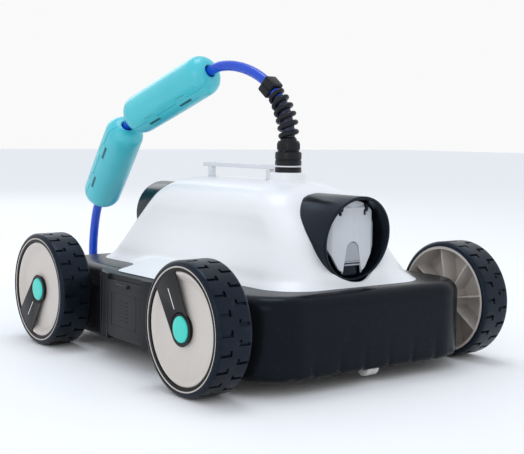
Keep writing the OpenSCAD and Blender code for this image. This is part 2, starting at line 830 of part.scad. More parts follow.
// Black trim: the ring under the rim's edge, the boss round the cap and one arm between them.
module trim() {
    z1 = half_w - 1;
    arm_z = lip_u + seat_gap;
    difference() {
        union() {
            translate([0, 0, half_w - 5 + seat_gap]) linear_extrude(4) difference() {
                circle(ring_r + 3.5 - seat_gap, $fn = fine);
                circle(ring_r + seat_gap, $fn = fine);
            }
            translate([0, 0, arm_z]) linear_extrude(z1 - arm_z) difference() {
                union() {
                    circle(cap_r + 4);
                    intersection() {
                        polygon([[-arm_w0 / 2, 0], [arm_w0 / 2, 0], [arm_w1 / 2, rim_r],
                                 [-arm_w1 / 2, rim_r]]);
                        circle(ring_r + 1.5, $fn = fine);
                    }
                }
                circle(cap_r - 3);
            }
            translate([0, 0, dish_u + seat_gap]) linear_extrude(arm_z - dish_u) difference() {
                circle(cap_r + 4);
                circle(hub_r + seat_gap);
            }
        }
        translate([0, 0, cap_u - seat_gap]) cylinder(r = cap_r + seat_gap, h = 10);
    }
}

module cap() {
    translate([0, 0, cap_u]) cylinder(r = cap_r, h = half_w - cap_u);
}

// Puts a wheel piece on its axle. side is -1 on the left, end is -1 at the front, and turn
// is the angle of the arm from straight up towards the rear.
module at_wheel(side, end, turn) {
    translate([side * track / 2, end * wheelbase / 2, wheel_r])
        rotate([-turn, 0, 0]) rotate([0, side * 90, 0]) rotate([0, 0, side * 90]) children();
}

module tyre_fl() {
    color("#17191f") at_wheel(-1, -1, arm_turn_fl) tyre();
}

module tyre_fr() {
    color("#17191f") at_wheel(1, -1, arm_turn_fr) tyre();
}

module tyre_rl() {
    color("#17191f") at_wheel(-1, 1, arm_turn_rl) tyre();
}

module tyre_rr() {
    color("#17191f") at_wheel(1, 1, arm_turn_rr) tyre();
}

module rim_fl() {
    color("#dcdad5") at_wheel(-1, -1, arm_turn_fl) rim();
}

module rim_fr() {
    color("#dcdad5") at_wheel(1, -1, arm_turn_fr) rim();
}

module rim_rl() {
    color("#dcdad5") at_wheel(-1, 1, arm_turn_rl) rim();
}

module rim_rr() {
    color("#dcdad5") at_wheel(1, 1, arm_turn_rr) rim();
}

module trim_fl() {
    color("#101114") at_wheel(-1, -1, arm_turn_fl) trim();
}

module trim_fr() {
    color("#101114") at_wheel(1, -1, arm_turn_fr) trim();
}

module trim_rl() {
    color("#101114") at_wheel(-1, 1, arm_turn_rl) trim();
}

module trim_rr() {
    color("#101114") at_wheel(1, 1, arm_turn_rr) trim();
}

module cap_fl() {
    color("#2fc9bd") at_wheel(-1, -1, arm_turn_fl) cap();
}

module cap_fr() {
    color("#2fc9bd") at_wheel(1, -1, arm_turn_fr) cap();
}

module cap_rl() {
    color("#2fc9bd") at_wheel(-1, 1, arm_turn_rl) cap();
}

module cap_rr() {
    color("#2fc9bd") at_wheel(1, 1, arm_turn_rr) cap();
}

module stub_axle() {
    wall = base_w / 2;
    flange_end = track / 2 + hub_in_u - move_gap;
    washer_x = track / 2 + axle_end_u + move_gap;
    rotate([0, 90, 0]) {
        translate([0, 0, wall + seat_gap])
            cylinder(r = axle_r + 5, h = flange_end - wall - seat_gap);
        translate([0, 0, wall - base_wall - 6])
            cylinder(r = axle_r, h = washer_x + washer_t - wall + base_wall + 6);
        translate([0, 0, wall - base_wall - 5 - seat_gap]) cylinder(r = axle_r + 4, h = 5);
        translate([0, 0, washer_x]) cylinder(r = axle_r + 2.5, h = washer_t);
    }
}

module stub_axles() {
    color("#9aa0a6") mirrored_x() for (sy = [-1, 1])
        translate([0, sy * wheelbase / 2, wheel_r]) stub_axle();
}

// ---------------------------------------------------------------- small parts

module screw(l) {
    cylinder(r = screw_head_r, h = 1.8);
    translate([0, 0, -l]) cylinder(r = screw_r, h = l + 0.5);
}

module screws() {
    color("#b8bcc0") for (sx = [-1, 1], sy = [-1, 1]) {
        translate([sx * deck_screw.x, sy * deck_screw.y, floor_z]) screw(9);
        translate([sx * lid_screw.x, sy * lid_screw.y, lid_z + lid_t + seat_gap]) screw(14);
    }
}

module hinge_pins() {
    color("#b8bcc0") {
        mirrored_y() {
            translate([0, flap_y, flap_pivot_z])
                x_rod(pin_r, flap_barrel_l + 2 * (lug_t + move_gap));
            translate([0, intake_y + intake_w / 2 + 6, throat_top_z + 3])
                x_rod(pin_r, intake_l + 8);
            translate([0, roller_y, roller_z]) x_rod(pin_r, roller_well.x + 5);
        }
        mirrored_x() translate([-latch_pivot.x, 0, latch_pivot.y])
            rotate([-90, 0, 0]) cylinder(r = pin_r, h = latch_w + 3, center = true);
    }
}

module roller(end) {
    translate([0, end * roller_y, roller_z]) rotate([0, 90, 0]) difference() {
        rotate_extrude() polygon([[0, -roller_w / 2], [roller_r - 2, -roller_w / 2],
            [roller_r, -roller_w / 2 + 3], [roller_r, roller_w / 2 - 3],
            [roller_r - 2, roller_w / 2], [0, roller_w / 2]]);
        cylinder(r = pin_r + run_gap, h = roller_w + 2, center = true);
    }
}

module roller_front() {
    color("#dfe0de") roller(-1);
}

module roller_rear() {
    color("#dfe0de") roller(1);
}

// Plan of the left side pod: a flat face with chamfered flanks and a seat for the latch.
module side_pod() {
    x0 = base_w / 2 + seat_gap;
    seat_x = pod_x - latch_t - move_gap;
    y_face = pod_face_half;
    y_seat = latch_w / 2 + move_gap;
    difference() {
        translate([0, 0, pod_z0]) linear_extrude(pod_z1 - pod_z0) polygon([
            [x0, -88], [153, -78], [pod_x - 5, -58], [pod_x, -y_face], [pod_x, -y_seat],
            [seat_x, -y_seat], [seat_x, y_seat], [pod_x, y_seat], [pod_x, y_face],
            [pod_x - 5, 58], [153, 78], [x0, 88]]);
        translate([latch_pivot.x, 0, latch_pivot.y]) rotate([-90, 0, 0]) {
            cylinder(r = pin_r + seat_gap, h = latch_w + 3, center = true);
            cylinder(r = latch_t, h = 2 * y_seat, center = true);
        }
        translate([latch_pivot.x - 2.8, -y_seat, pod_z0 - 1])
            cube([10, 2 * y_seat, latch_pivot.y - pod_z0 + 1]);
    }
}

module side_pod_left() {
    color("#2b2d30") mirror([1, 0, 0]) side_pod();
}

module side_pod_right() {
    color("#2b2d30") side_pod();
}

module latch() {
    difference() {
        union() {
            translate([pod_x - latch_t, -latch_w / 2, latch_pivot.y])
                cube([latch_t, latch_w, latch_z1 - latch_pivot.y]);
            translate([latch_pivot.x, 0, latch_pivot.y]) rotate([-90, 0, 0])
                cylinder(r = latch_t - move_gap, h = latch_w, center = true);
            translate([pod_x - latch_t, -12, latch_z1 - 6]) cube([latch_t + 3, 24, 4]);
        }
        translate([latch_pivot.x, 0, latch_pivot.y]) rotate([-90, 0, 0])
            cylinder(r = pin_r + run_gap, h = latch_w + 2, center = true);
    }
}

module latch_left() {
    color("#303236") mirror([1, 0, 0]) latch();
}

module latch_right() {
    color("#303236") latch();
}

// ---------------------------------------------------------------- swivel and cable

module swivel_seat() {
    color("#101215") translate([0, -swivel_y, seat_z]) difference() {
        cylinder(r = swivel_r, h = seat_h, $fn = fine);
        translate([0, 0, -1]) cylinder(r = stem_r + run_gap, h = seat_h + 2);
    }
}

module swivel_rotor() {
    color("#15171a") translate([0, -swivel_y, 0]) difference() {
        union() {
            translate([0, 0, rotor_z]) cylinder(r = swivel_r, h = rotor_h, $fn = fine);
            translate([0, 0, rotor_z + rotor_h])
                cylinder(r = swivel_r - 2.3, h = exit_z - rotor_z - rotor_h, $fn = fine);
            translate([0, 0, stem_z0]) cylinder(r = stem_r, h = rotor_z - stem_z0 + 1);
            translate([0, 0, stem_z0]) cylinder(r = keeper_r, h = 3);
        }
        translate([0, 0, stem_z0 - 1]) cylinder(r = cable_r + bore_gap, h = 90);
    }
}

module strain_relief() {
    c = smooth([for (i = [0 : relief_last]) route[i]], 2.4);
    color("#141619") sleeve(
        [for (i = [2 : len(c) - 3]) c[i]],
        [for (i = [2 : len(c) - 3]) 9.5 + 1.9 * cos(360 * i / 4)],
        cable_r + bore_gap, 16);
}

module clamp_collar() {
    color("#121417") along(collar_at[0], collar_at[1]) difference() {
        translate([0, 0, collar_size.z / 2 + 1.5]) cube(collar_size, center = true);
        translate([0, 0, -1]) cylinder(r = cable_r + 1.2, h = 40);
    }
}

module cable() {
    color("#1c4fd6") {
        sweep(smooth(route, 15), cable_r, 10);
        sweep(smooth(tail, 12), cable_r, 10, [0, 0, 1]);
    }
}

function float_arc(l, w, far) = let (r = float_d / 2, e = r - float_hole_r)
    [for (i = [0 : 6]) let (t = far ? 90 - 15 * i : 15 * i)
        [r - e + (e - w) * sin(t), far ? l - e + (e - w) * cos(t) : e - (e - w) * cos(t)]];

function reversed(p) = [for (i = [len(p) - 1 : -1 : 0]) p[i]];

// A hollow capsule with a hole at each end for the cable.
module float_shell(ends) {
    l = norm(ends[1] - ends[0]);
    color("#35b9c6") along(ends[0], ends[1]) rotate_extrude() polygon(concat(
        float_arc(l, 0, false), float_arc(l, 0, true),
        reversed(float_arc(l, float_wall, true)), reversed(float_arc(l, float_wall, false))));
}

module float_1() {
    float_shell(float_1_ends);
}

module float_2() {
    float_shell(float_2_ends);
}

module cable_coil() {
    color("#173f9e") translate([coil_centre.x, coil_centre.y, coil_z]) rotate_extrude($fn = fine)
        translate([coil_r - coil_across / 2, 0]) square([coil_across, coil_high]);
}

module coil_tie() {
    gap = 0.3;
    color("#101215") translate([coil_centre.x, coil_centre.y, coil_z]) rotate([0, 0, tie_turn])
        translate([coil_r, 0, coil_high / 2]) difference() {
            cube([coil_across + 2 * gap + 2 * tie_t + 1.2, tie_w, coil_high + 2 * gap + 2 * tie_t],
                 center = true);
            cube([coil_across + 2 * gap + 1.2, tie_w + 2, coil_high + 2 * gap], center = true);
        }
}

module connector() {
    a = tail[len(tail) - 1];
    h = heading(tail, len(tail) - 2);
    color("#15171a") along(a, a + [h.x, h.y, 0]) {
        cylinder(r = plug_r - 3, h = 14);
        translate([0, 0, 13.9]) cylinder(r = plug_r, h = plug_l - 13.9);
        for (x = [-4, 4]) translate([x, 0, plug_l - 0.1]) cylinder(r = 1.5, h = 8);
    }
}

// Lead from the swivel's slip ring to the housing.
module inner_lead() {
    color("#1b1d20") sweep(smooth([[0, -69, 184], [0, -66, 181], [0, -58, 179.5], [0, -34, 180],
        [0, -27, 178], [0, -24, 172]], 5), 2.4, 8);
}

base_tub();
base_deck();
pump_deck();
filter_frame();
filter_mesh();
top_shell();
handle();
hood_front();
hood_rear();
outlet_sills();
side_pod_left();
side_pod_right();
motor_housing();
housing_gasket();
housing_lid();
motors();
control_board();
shaft_seals();
duct_front();
duct_rear();
stub_axles();
screws();
hinge_pins();
swivel_seat();
inner_lead();
tyre_fl();
tyre_fr();
tyre_rl();
tyre_rr();
rim_fl();
rim_fr();
rim_rl();
rim_rr();
trim_fl();
trim_fr();
trim_rl();
trim_rr();
cap_fl();
cap_fr();
cap_rl();
cap_rr();
outlet_flap_front();
outlet_flap_rear();
intake_flap_front();
intake_flap_rear();
latch_left();
latch_right();
impeller_front();
impeller_rear();
roller_front();
roller_rear();
swivel_rotor();
strain_relief();
clamp_collar();
cable();
float_1();
float_2();
cable_coil();
coil_tie();
connector();
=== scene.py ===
"""Looks of a jet-driven four-wheel pool cleaner with a floating supply cable.

Sizes are in millimetres inside the classes and become metres in the finished meshes.
X runs along the axles, the front nozzle faces -Y and Z is up.
"""
import logging
import math
from dataclasses import dataclass, field
from enum import Enum
from typing import Any, Iterable, Sequence

import bmesh
import bpy
from mathutils import Matrix, Vector


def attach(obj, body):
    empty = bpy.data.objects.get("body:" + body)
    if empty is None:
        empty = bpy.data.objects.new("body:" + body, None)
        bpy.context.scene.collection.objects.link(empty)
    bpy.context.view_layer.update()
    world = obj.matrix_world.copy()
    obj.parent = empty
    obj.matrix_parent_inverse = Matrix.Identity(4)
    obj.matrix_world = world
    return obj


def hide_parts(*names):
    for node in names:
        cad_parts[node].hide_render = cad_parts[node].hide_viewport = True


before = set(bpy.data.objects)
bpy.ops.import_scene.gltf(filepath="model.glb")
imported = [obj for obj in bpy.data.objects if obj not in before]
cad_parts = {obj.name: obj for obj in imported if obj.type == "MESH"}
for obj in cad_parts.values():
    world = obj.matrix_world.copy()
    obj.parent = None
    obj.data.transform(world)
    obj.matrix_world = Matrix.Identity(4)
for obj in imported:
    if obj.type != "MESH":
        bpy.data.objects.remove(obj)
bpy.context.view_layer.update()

MM = 0.001
BEVEL_FROM = 38
MERGE_M = 1e-6
WELD_M = 1e-5
log = logging.getLogger("pool_cleaner")

Colour = tuple[float, float, float]
Point = tuple[float, float, float]
Flat = tuple[float, float]


# ------------------------------------------------------------------ shader maths


@dataclass
class Sock:
    """One output in a node tree, which Python's operators turn into Math nodes."""

    tree: bpy.types.NodeTree
    out: bpy.types.NodeSocket

    def math(self, operation: str, first: Any, second: Any = 0.0) -> "Sock":
        """Adds one Math node.

        Args:
            operation: Blender's name of the operation.
            first: A socket or a number.
            second: A socket or a number.

        Returns:
            The node's result.
        """
        node = add_node(self.tree, "ShaderNodeMath", {"operation": operation}, {0: first, 1: second})
        return Sock(self.tree, node.outputs[0])

    def __add__(self, other: Any) -> "Sock":
        """Sum."""
        return self.math("ADD", self, other)

    def __radd__(self, other: Any) -> "Sock":
        """Sum, reflected."""
        return self.math("ADD", other, self)

    def __sub__(self, other: Any) -> "Sock":
        """Difference."""
        return self.math("SUBTRACT", self, other)

    def __mul__(self, other: Any) -> "Sock":
        """Product."""
        return self.math("MULTIPLY", self, other)

    def __rmul__(self, other: Any) -> "Sock":
        """Product, reflected."""
        return self.math("MULTIPLY", other, self)

    def __truediv__(self, other: Any) -> "Sock":
        """Quotient."""
        return self.math("DIVIDE", self, other)

    def sine(self) -> "Sock":
        """Sine."""
        return self.math("SINE", self)

    def larger(self, other: Any) -> "Sock":
        """The larger of this and another value."""
        return self.math("MAXIMUM", self, other)


def add_node(tree: bpy.types.NodeTree, kind: str, settings: dict[str, Any] | None = None,
             values: dict[Any, Any] | None = None) -> bpy.types.Node:
    """Adds any node: its settings first, then the values or links of its sockets.

    Args:
        tree: The tree that gets the node.
        kind: The node's type.
        settings: Attributes of the node, with "stops" for a ramp's positions and colours.
        values: Socket name or number to a plain value, a Sock or an output socket.

    Returns:
        The node.
    """
    node = tree.nodes.new(kind)
    for name, value in (settings or {}).items():
        if name == "stops":
            ramp = node.color_ramp.elements
            while len(ramp) < len(value):
                ramp.new(0.5)
            for element, (position, colour) in zip(ramp, value):
                element.position = position
                element.color = (*colour, 1.0)
        else:
            setattr(node, name, value)
    for key, value in (values or {}).items():
        socket = node.inputs[key]
        if isinstance(value, Sock):
            tree.links.new(value.out, socket)
        elif isinstance(value, bpy.types.NodeSocket):
            tree.links.new(value, socket)
        else:
            socket.default_value = value
    return node


def noise(place: Sock, scale: float, detail: float, roughness: float) -> Sock:
    """Noise at a place, from about 0 to 1."""
    node = add_node(place.tree, "ShaderNodeTexNoise", {}, {
        "Vector": place, "Scale": scale, "Detail": detail, "Roughness": roughness})
    return Sock(place.tree, node.outputs[0])


def blend(share: Sock, first: Any, second: Any) -> Sock:
    """A mix of two colours, each a socket or a plain colour."""
    node = add_node(share.tree, "ShaderNodeMix", {"data_type": "RGBA"}, {0: share, 6: first, 7: second})
    return Sock(share.tree, node.outputs[2])


# ------------------------------------------------------------------ finishes


class Grain(Enum):
    """The fine surface that a finish has."""

    POLISHED = "polished"
    SPARKED = "sparked"
    RUBBER = "rubber"
    BRUSHED = "brushed"
    WOVEN = "woven"
    DRAWN = "drawn"


DUST_TONE: Colour = (0.30, 0.31, 0.32)
DUST_SCALE = 210.0
DUST_FROM = 0.56
DUST_GAIN = 7.0
DUST_ROUGHNESS = 0.25
THREADS_PER_M = 2600.0
COAT_ROUGHNESS = 0.08
RELIEF_M = 0.0004


@dataclass(frozen=True)
class Finish:
    """One material: a colour that wanders a little, its gloss and its fine surface."""

    name: str
    colour: Colour
    second: Colour
    rough: float
    grain: Grain = Grain.SPARKED
    depth: float = 0.06
    spread: float = 0.08
    patch: float = 45.0
    specular: float = 0.5
    tint: Colour = (1.0, 1.0, 1.0)
    coat: float = 0.0
    metal: float = 0.0
    sheen: float = 0.0
    dust: float = 0.0

    def surface(self, tree: bpy.types.NodeTree, place: Sock) -> Sock:
        """Height of the fine surface, from 0 to 1.

        Args:
            tree: The material's tree.
            place: Object coordinates.

        Returns:
            The height that feeds the bump.
        """
        def fine(scale: float, detail: float) -> Sock:
            """Fine noise of one scale."""
            return noise(place, scale, detail, 0.55)

        if self.grain is Grain.BRUSHED:
            drawn = add_node(tree, "ShaderNodeMapping", {}, {
                "Vector": place, "Scale": (30.0, 900.0, 900.0)})
            return noise(Sock(tree, drawn.outputs[0]), 3.0, 3.0, 0.55)
        if self.grain is Grain.WOVEN:
            parts = add_node(tree, "ShaderNodeSeparateXYZ", {}, {0: place})
            threads = [(Sock(tree, parts.outputs[i]) * THREADS_PER_M).sine() for i in range(3)]
            return (threads[0] * threads[1] + threads[2]) * 0.25 + 0.5
        if self.grain is Grain.DRAWN:
            return fine(60.0, 2.0) * 0.7 + fine(1400.0, 1.0) * 0.3
        if self.grain is Grain.RUBBER:
            cells = add_node(tree, "ShaderNodeTexVoronoi", {}, {"Vector": place, "Scale": 900.0})
            return Sock(tree, cells.outputs[0]) * 0.5 + fine(320.0, 3.0) * 0.5
        if self.grain is Grain.SPARKED:
            return fine(1500.0, 2.0) * 0.7 + fine(260.0, 2.0) * 0.3
        return fine(70.0, 2.0)

    def make(self) -> bpy.types.Material:
        """Builds the node tree of this finish.

        Returns:
            The material, which is shared by all its pieces.
        """
        title = self.name + "_finish"
        known = bpy.data.materials.get(title)
        if known:
            return known
        material = bpy.data.materials.new(title)
        material.use_nodes = True
        tree = material.node_tree
        tree.nodes.clear()
        place = Sock(tree, add_node(tree, "ShaderNodeTexCoord").outputs["Object"])
        wander = noise(place, self.patch, 4.0, 0.6)
        fine = self.surface(tree, place)
        mask = (wander * 1.6 - 0.3).larger(0.0) * 0.8 + fine * 0.2
        shade = blend(mask, (*self.colour, 1.0), (*self.second, 1.0))
        roughness = self.rough + self.spread * (wander - 0.5)
        if self.dust:
            specks = noise(place, DUST_SCALE, 6.0, 0.75)
            worn = ((specks - DUST_FROM) * DUST_GAIN).larger(0.0) * wander * self.dust
            shade = blend(worn, shade, (*DUST_TONE, 1.0))
            roughness = roughness + worn * DUST_ROUGHNESS
        bump = add_node(tree, "ShaderNodeBump", {}, {
            "Height": fine, "Strength": self.depth, "Distance": RELIEF_M})
        shader = add_node(tree, "ShaderNodeBsdfPrincipled", {}, {
            "Base Color": shade, "Roughness": roughness, "Normal": bump.outputs[0],
            "Metallic": self.metal, "Specular IOR Level": self.specular,
            "Specular Tint": (*self.tint, 1.0), "Coat Weight": self.coat,
            "Coat Roughness": COAT_ROUGHNESS, "Sheen Weight": self.sheen})
        add_node(tree, "ShaderNodeOutputMaterial", {}, {0: shader.outputs[0]})
        return material


SHELL_WHITE = Finish("shell_white", (0.84, 0.85, 0.87), (0.81, 0.82, 0.84), 0.36, Grain.POLISHED,
                     depth=0.05, spread=0.06, patch=9.0, coat=0.15)
HANDLE_WHITE = Finish("handle_white", (0.76, 0.77, 0.79), (0.71, 0.72, 0.75), 0.42, depth=0.08)
BASE_BLACK = Finish("base_black", (0.0045, 0.005, 0.0065), (0.007, 0.0075, 0.0095), 0.27, depth=0.08,
                    patch=14.0, specular=0.13, tint=(0.60, 0.78, 1.0), dust=0.04)
HOOD_BLACK = Finish("hood_black", (0.004, 0.0055, 0.0085), (0.006, 0.0078, 0.0115), 0.24, Grain.POLISHED,
                    depth=0.05, specular=0.26, tint=(0.50, 0.72, 1.0))
FLAP_GREY = Finish("flap_grey", (0.60, 0.63, 0.67), (0.55, 0.58, 0.62), 0.34, depth=0.06)
SILL_GREY = Finish("sill_grey", (0.36, 0.39, 0.43), (0.32, 0.35, 0.39), 0.36, depth=0.06)
POD_CHARCOAL = Finish("pod_charcoal", (0.011, 0.0115, 0.013), (0.016, 0.017, 0.019), 0.42, depth=0.16,
                      specular=0.2, dust=0.12)
LATCH_CHARCOAL = Finish("latch_charcoal", (0.015, 0.016, 0.018), (0.021, 0.022, 0.024), 0.40,
                        depth=0.14, specular=0.2)
TYRE_RUBBER = Finish("tyre_rubber", (0.005, 0.0062, 0.0095), (0.008, 0.010, 0.015), 0.32, Grain.RUBBER,
                     depth=0.14, spread=0.14, patch=60.0, specular=0.24, tint=(0.48, 0.70, 1.0), dust=0.10)
RIM_CREAM = Finish("rim_white", (0.64, 0.60, 0.56), (0.58, 0.53, 0.49), 0.44, depth=0.07, patch=12.0)
TRIM_BLACK = Finish("trim_black", (0.007, 0.0065, 0.0065), (0.010, 0.0095, 0.0095), 0.30, Grain.POLISHED,
                    depth=0.05, specular=0.16)
CAP_TEAL = Finish("cap_teal", (0.006, 0.60, 0.50), (0.012, 0.66, 0.55), 0.28, Grain.POLISHED, coat=0.3)
SWIVEL_BLACK = Finish("swivel_black", (0.0055, 0.006, 0.008), (0.009, 0.0095, 0.012), 0.34, depth=0.12,
                      specular=0.25)
RELIEF_RUBBER = Finish("relief_rubber", (0.006, 0.007, 0.010), (0.010, 0.011, 0.015), 0.36,
                       Grain.RUBBER, depth=0.10, specular=0.25)
CABLE_BLUE = Finish("cable_blue", (0.002, 0.070, 0.62), (0.003, 0.055, 0.52), 0.30, Grain.DRAWN,
                    depth=0.05, patch=20.0, coat=0.15)
FLOAT_AQUA = Finish("float_aqua", (0.070, 0.58, 0.66), (0.055, 0.52, 0.60), 0.33, Grain.POLISHED,
                    depth=0.06, patch=16.0, coat=0.2)
# Navy for the tube over the cable inside the spiral: painted shade of the blue cable there.
CABLE_PAINTED_SHADE = Finish("sleeve_navy", (0.003, 0.006, 0.030), (0.004, 0.009, 0.045), 0.40, Grain.DRAWN)
# Darker aqua for the strips beside the float clips: painted shadow of the slots there.
CLIP_PAINTED_SHADOW = Finish("clip_shade", (0.012, 0.12, 0.16), (0.010, 0.10, 0.13), 0.5)
ROLLER_WHITE = Finish("roller_white", (0.62, 0.62, 0.60), (0.56, 0.56, 0.54), 0.45, dust=0.3)
INTAKE_DARK = Finish("intake_dark", (0.035, 0.038, 0.043), (0.045, 0.048, 0.054), 0.5, depth=0.12)
HOUSING_DARK = Finish("housing_dark", (0.045, 0.048, 0.055), (0.055, 0.058, 0.066), 0.48, depth=0.14)
DECK_GREY = Finish("deck_grey", (0.075, 0.08, 0.09), (0.09, 0.095, 0.105), 0.5, depth=0.14)
DUCT_GREY = Finish("duct_grey", (0.10, 0.11, 0.12), (0.12, 0.13, 0.14), 0.42, depth=0.08)
FILTER_GREY = Finish("filter_grey", (0.26, 0.29, 0.32), (0.30, 0.33, 0.36), 0.5, depth=0.1)
MESH_NYLON = Finish("mesh_nylon", (0.42, 0.46, 0.49), (0.36, 0.40, 0.43), 0.6, Grain.WOVEN, depth=0.3,
                    sheen=0.2)
MOTOR_STEEL = Finish("motor_steel", (0.55, 0.56, 0.58), (0.48, 0.49, 0.51), 0.30, Grain.BRUSHED,
                     depth=0.12, metal=1.0)
AXLE_STEEL = Finish("axle_steel", (0.60, 0.61, 0.62), (0.52, 0.53, 0.54), 0.26, Grain.BRUSHED,
                    depth=0.10, metal=1.0)
SCREW_STEEL = Finish("screw_steel", (0.64, 0.64, 0.63), (0.55, 0.55, 0.55), 0.24, Grain.BRUSHED,
                     depth=0.08, metal=1.0)
BOARD_GREEN = Finish("board_green", (0.015, 0.13, 0.05), (0.02, 0.17, 0.07), 0.32, Grain.WOVEN,
                     depth=0.1, coat=0.3)
GASKET_RUBBER = Finish("gasket_rubber", (0.015, 0.015, 0.016), (0.022, 0.022, 0.023), 0.6,
                       Grain.RUBBER, depth=0.12)
LEAD_BLACK = Finish("lead_black", (0.012, 0.012, 0.013), (0.018, 0.018, 0.02), 0.42, Grain.DRAWN)
IMPELLER_WHITE = Finish("impeller_white", (0.58, 0.62, 0.64), (0.53, 0.57, 0.59), 0.36)
TIE_WEBBING = Finish("tie_black", (0.012, 0.012, 0.014), (0.02, 0.02, 0.023), 0.75, Grain.WOVEN,
                     depth=0.5, sheen=0.4)
PLUG_BLACK = Finish("plug_black", (0.010, 0.010, 0.012), (0.016, 0.016, 0.018), 0.48, depth=0.16)
PIN_BRASS = Finish("pin_brass", (0.75, 0.55, 0.24), (0.68, 0.48, 0.2), 0.26, Grain.BRUSHED, metal=1.0)
MARK_WHITE = Finish("mark_white", (0.80, 0.80, 0.78), (0.74, 0.74, 0.72), 0.4)
FLOOR_PAPER = Finish("floor_paper", (0.96, 0.96, 0.96), (0.95, 0.95, 0.95), 0.9, depth=0.01, patch=0.5,
                     specular=0.15)


# ------------------------------------------------------------------ meshes


@dataclass
class Form:
    """Points and faces in millimetres that become one mesh."""

    points: list[Vector] = field(default_factory=list)
    faces: list[list[int]] = field(default_factory=list)

    def add(self, points: Iterable[Sequence[float]], faces: Iterable[Sequence[int]]) -> "Form":
        """Adds points and the faces between them."""
        start = len(self.points)
        self.points += [Vector(p) for p in points]
        self.faces += [[start + i for i in face] for face in faces]
        return self

    def join(self, *others: "Form") -> "Form":
        """Adds all of the other forms."""
        for other in others:
            self.add(other.points, other.faces)
        return self

    def moved(self, matrix: Matrix) -> "Form":
        """A copy under a transform, which keeps its faces outward when mirrored."""
        flip = matrix.to_3x3().determinant() < 0
        return Form([matrix @ p for p in self.points],
                    [list(reversed(f)) if flip else list(f) for f in self.faces])

    def shifted(self, x: float, y: float, z: float) -> "Form":
        """A copy moved by x, y and z."""
        return self.moved(Matrix.Translation((x, y, z)))

    def faced(self, axis: int, sign: int) -> "Form":
        """The form itself, or its mirror image along an axis where the sign is negative."""
        if sign > 0:
            return self
        scale = Matrix.Identity(4)
        scale[axis][axis] = -1.0
        return self.moved(scale)

    def mesh(self, name: str) -> bpy.types.Mesh:
        """The form as a mesh in metres with its doubles merged."""
        data = bpy.data.meshes.new(name)
        data.from_pydata([p * MM for p in self.points], [], self.faces)
        work = bmesh.new()
        work.from_mesh(data)
        bmesh.ops.remove_doubles(work, verts=work.verts, dist=MERGE_M)
        bmesh.ops.recalc_face_normals(work, faces=work.faces)
        work.to_mesh(data)
        work.free()
        return data


def polar(radius: float, degrees: float) -> Flat:
    """The flat point at a radius and an angle from X."""
    angle = math.radians(degrees)
    return radius * math.cos(angle), radius * math.sin(angle)


def spin(degrees: float, axis: str) -> Matrix:
    """The turn by an angle about X, Y or Z."""
    return Matrix.Rotation(math.radians(degrees), 4, axis)


def loft(rings: Sequence[Sequence[Sequence[float]]], closed: bool = False, caps: bool = True) -> Form:
    """Joins rings of equal length by quads.

    Args:
        rings: The rings in order.
        closed: True if the last ring joins the first.
        caps: True if the end rings are filled.

    Returns:
        The lofted form.
    """
    size = len(rings[0])
    faces: list[list[int]] = []
    for i in range(len(rings) if closed else len(rings) - 1):
        low, high = i * size, (i + 1) % len(rings) * size
        for k in range(size):
            nxt = (k + 1) % size
            faces.append([low + k, low + nxt, high + nxt, high + k])
    if caps and not closed:
        faces.append(list(range(size - 1, -1, -1)))
        faces.append([(len(rings) - 1) * size + k for k in range(size)])
    return Form().add([p for ring in rings for p in ring], faces)


def turned(profile: Sequence[Flat], steps: int = 64, closed: bool = True) -> Form:
    """Turns a profile of (radius, z) round Z; a closed profile makes a ring of material.

    Args:
        profile: Radius and height of each corner.
        steps: Faces round the axis.
        closed: True if the profile's last corner joins its first.

    Returns:
        The turned form, with its poles closed.
    """
    rings = [[(*polar(r, 360 * k / steps), z) for k in range(steps)] for r, z in profile]
    return loft(rings, closed=closed, caps=not closed)


def prism(outline: Sequence[Flat], low: float, high: float, soft: float = 0.0) -> Form:
    """Stands an outline up from low to high, with its edges cut back by soft.

    Args:
        outline: Corners in order, counter-clockwise.
        low: Height of its lower face.
        high: Height of its upper face.
        soft: Size of the rounding on the lower and upper edges.

    Returns:
        The solid.
    """
    if soft <= 0:
        return loft([[(x, y, low) for x, y in outline], [(x, y, high) for x, y in outline]])
    arc = [(soft * (1 - math.sin(t)), soft * (1 - math.cos(t)))
           for t in (math.pi / 2 * i / 4 for i in range(5))]
    levels = [(back, low + up) for back, up in arc] + [(back, high - up) for back, up in reversed(arc)]
    return loft([[(x, y, z) for x, y in inset(outline, back)] for back, z in levels])


def inset(outline: Sequence[Flat], by: float) -> list[Flat]:
    """The outline moved inwards by a distance, corner by corner."""
    result = []
    size = len(outline)
    for i, here in enumerate(outline):
        before = Vector(here) - Vector(outline[i - 1])
        after = Vector(outline[(i + 1) % size]) - Vector(here)
        normals = [Vector((-v.y, v.x)).normalized() for v in (before, after)]
        middle = (normals[0] + normals[1]).normalized()
        reach = by / max(0.35, middle.dot(normals[0]))
        result.append((here[0] + middle.x * reach, here[1] + middle.y * reach))
    return result


def plate(half_x: float, half_y: float, corner: float, arc: int = 8, run: int = 1) -> list[Flat]:
    """Outline of a rectangle with round corners, counter-clockwise.

    Args:
        half_x: Half its width.
        half_y: Half its length.
        corner: Radius of its corners.
        arc: Steps in a corner.
        run: Steps along each side.

    Returns:
        The outline.
    """
    points: list[Flat] = []
    signs = ((1, 1), (-1, 1), (-1, -1), (1, -1))
    for quarter, (sx, sy) in enumerate(signs):
        for i in range(arc + 1):
            x, y = polar(corner, 90 * (quarter + i / arc))
            points.append((sx * (half_x - corner) + x, sy * (half_y - corner) + y))
        next_x, next_y = signs[(quarter + 1) % 4]
        x, y = polar(corner, 90 * (quarter + 1))
        end_x, end_y = next_x * (half_x - corner) + x, next_y * (half_y - corner) + y
        x0, y0 = points[-1]
        points += [(x0 + (end_x - x0) * k / run, y0 + (end_y - y0) * k / run) for k in range(1, run)]
    return points


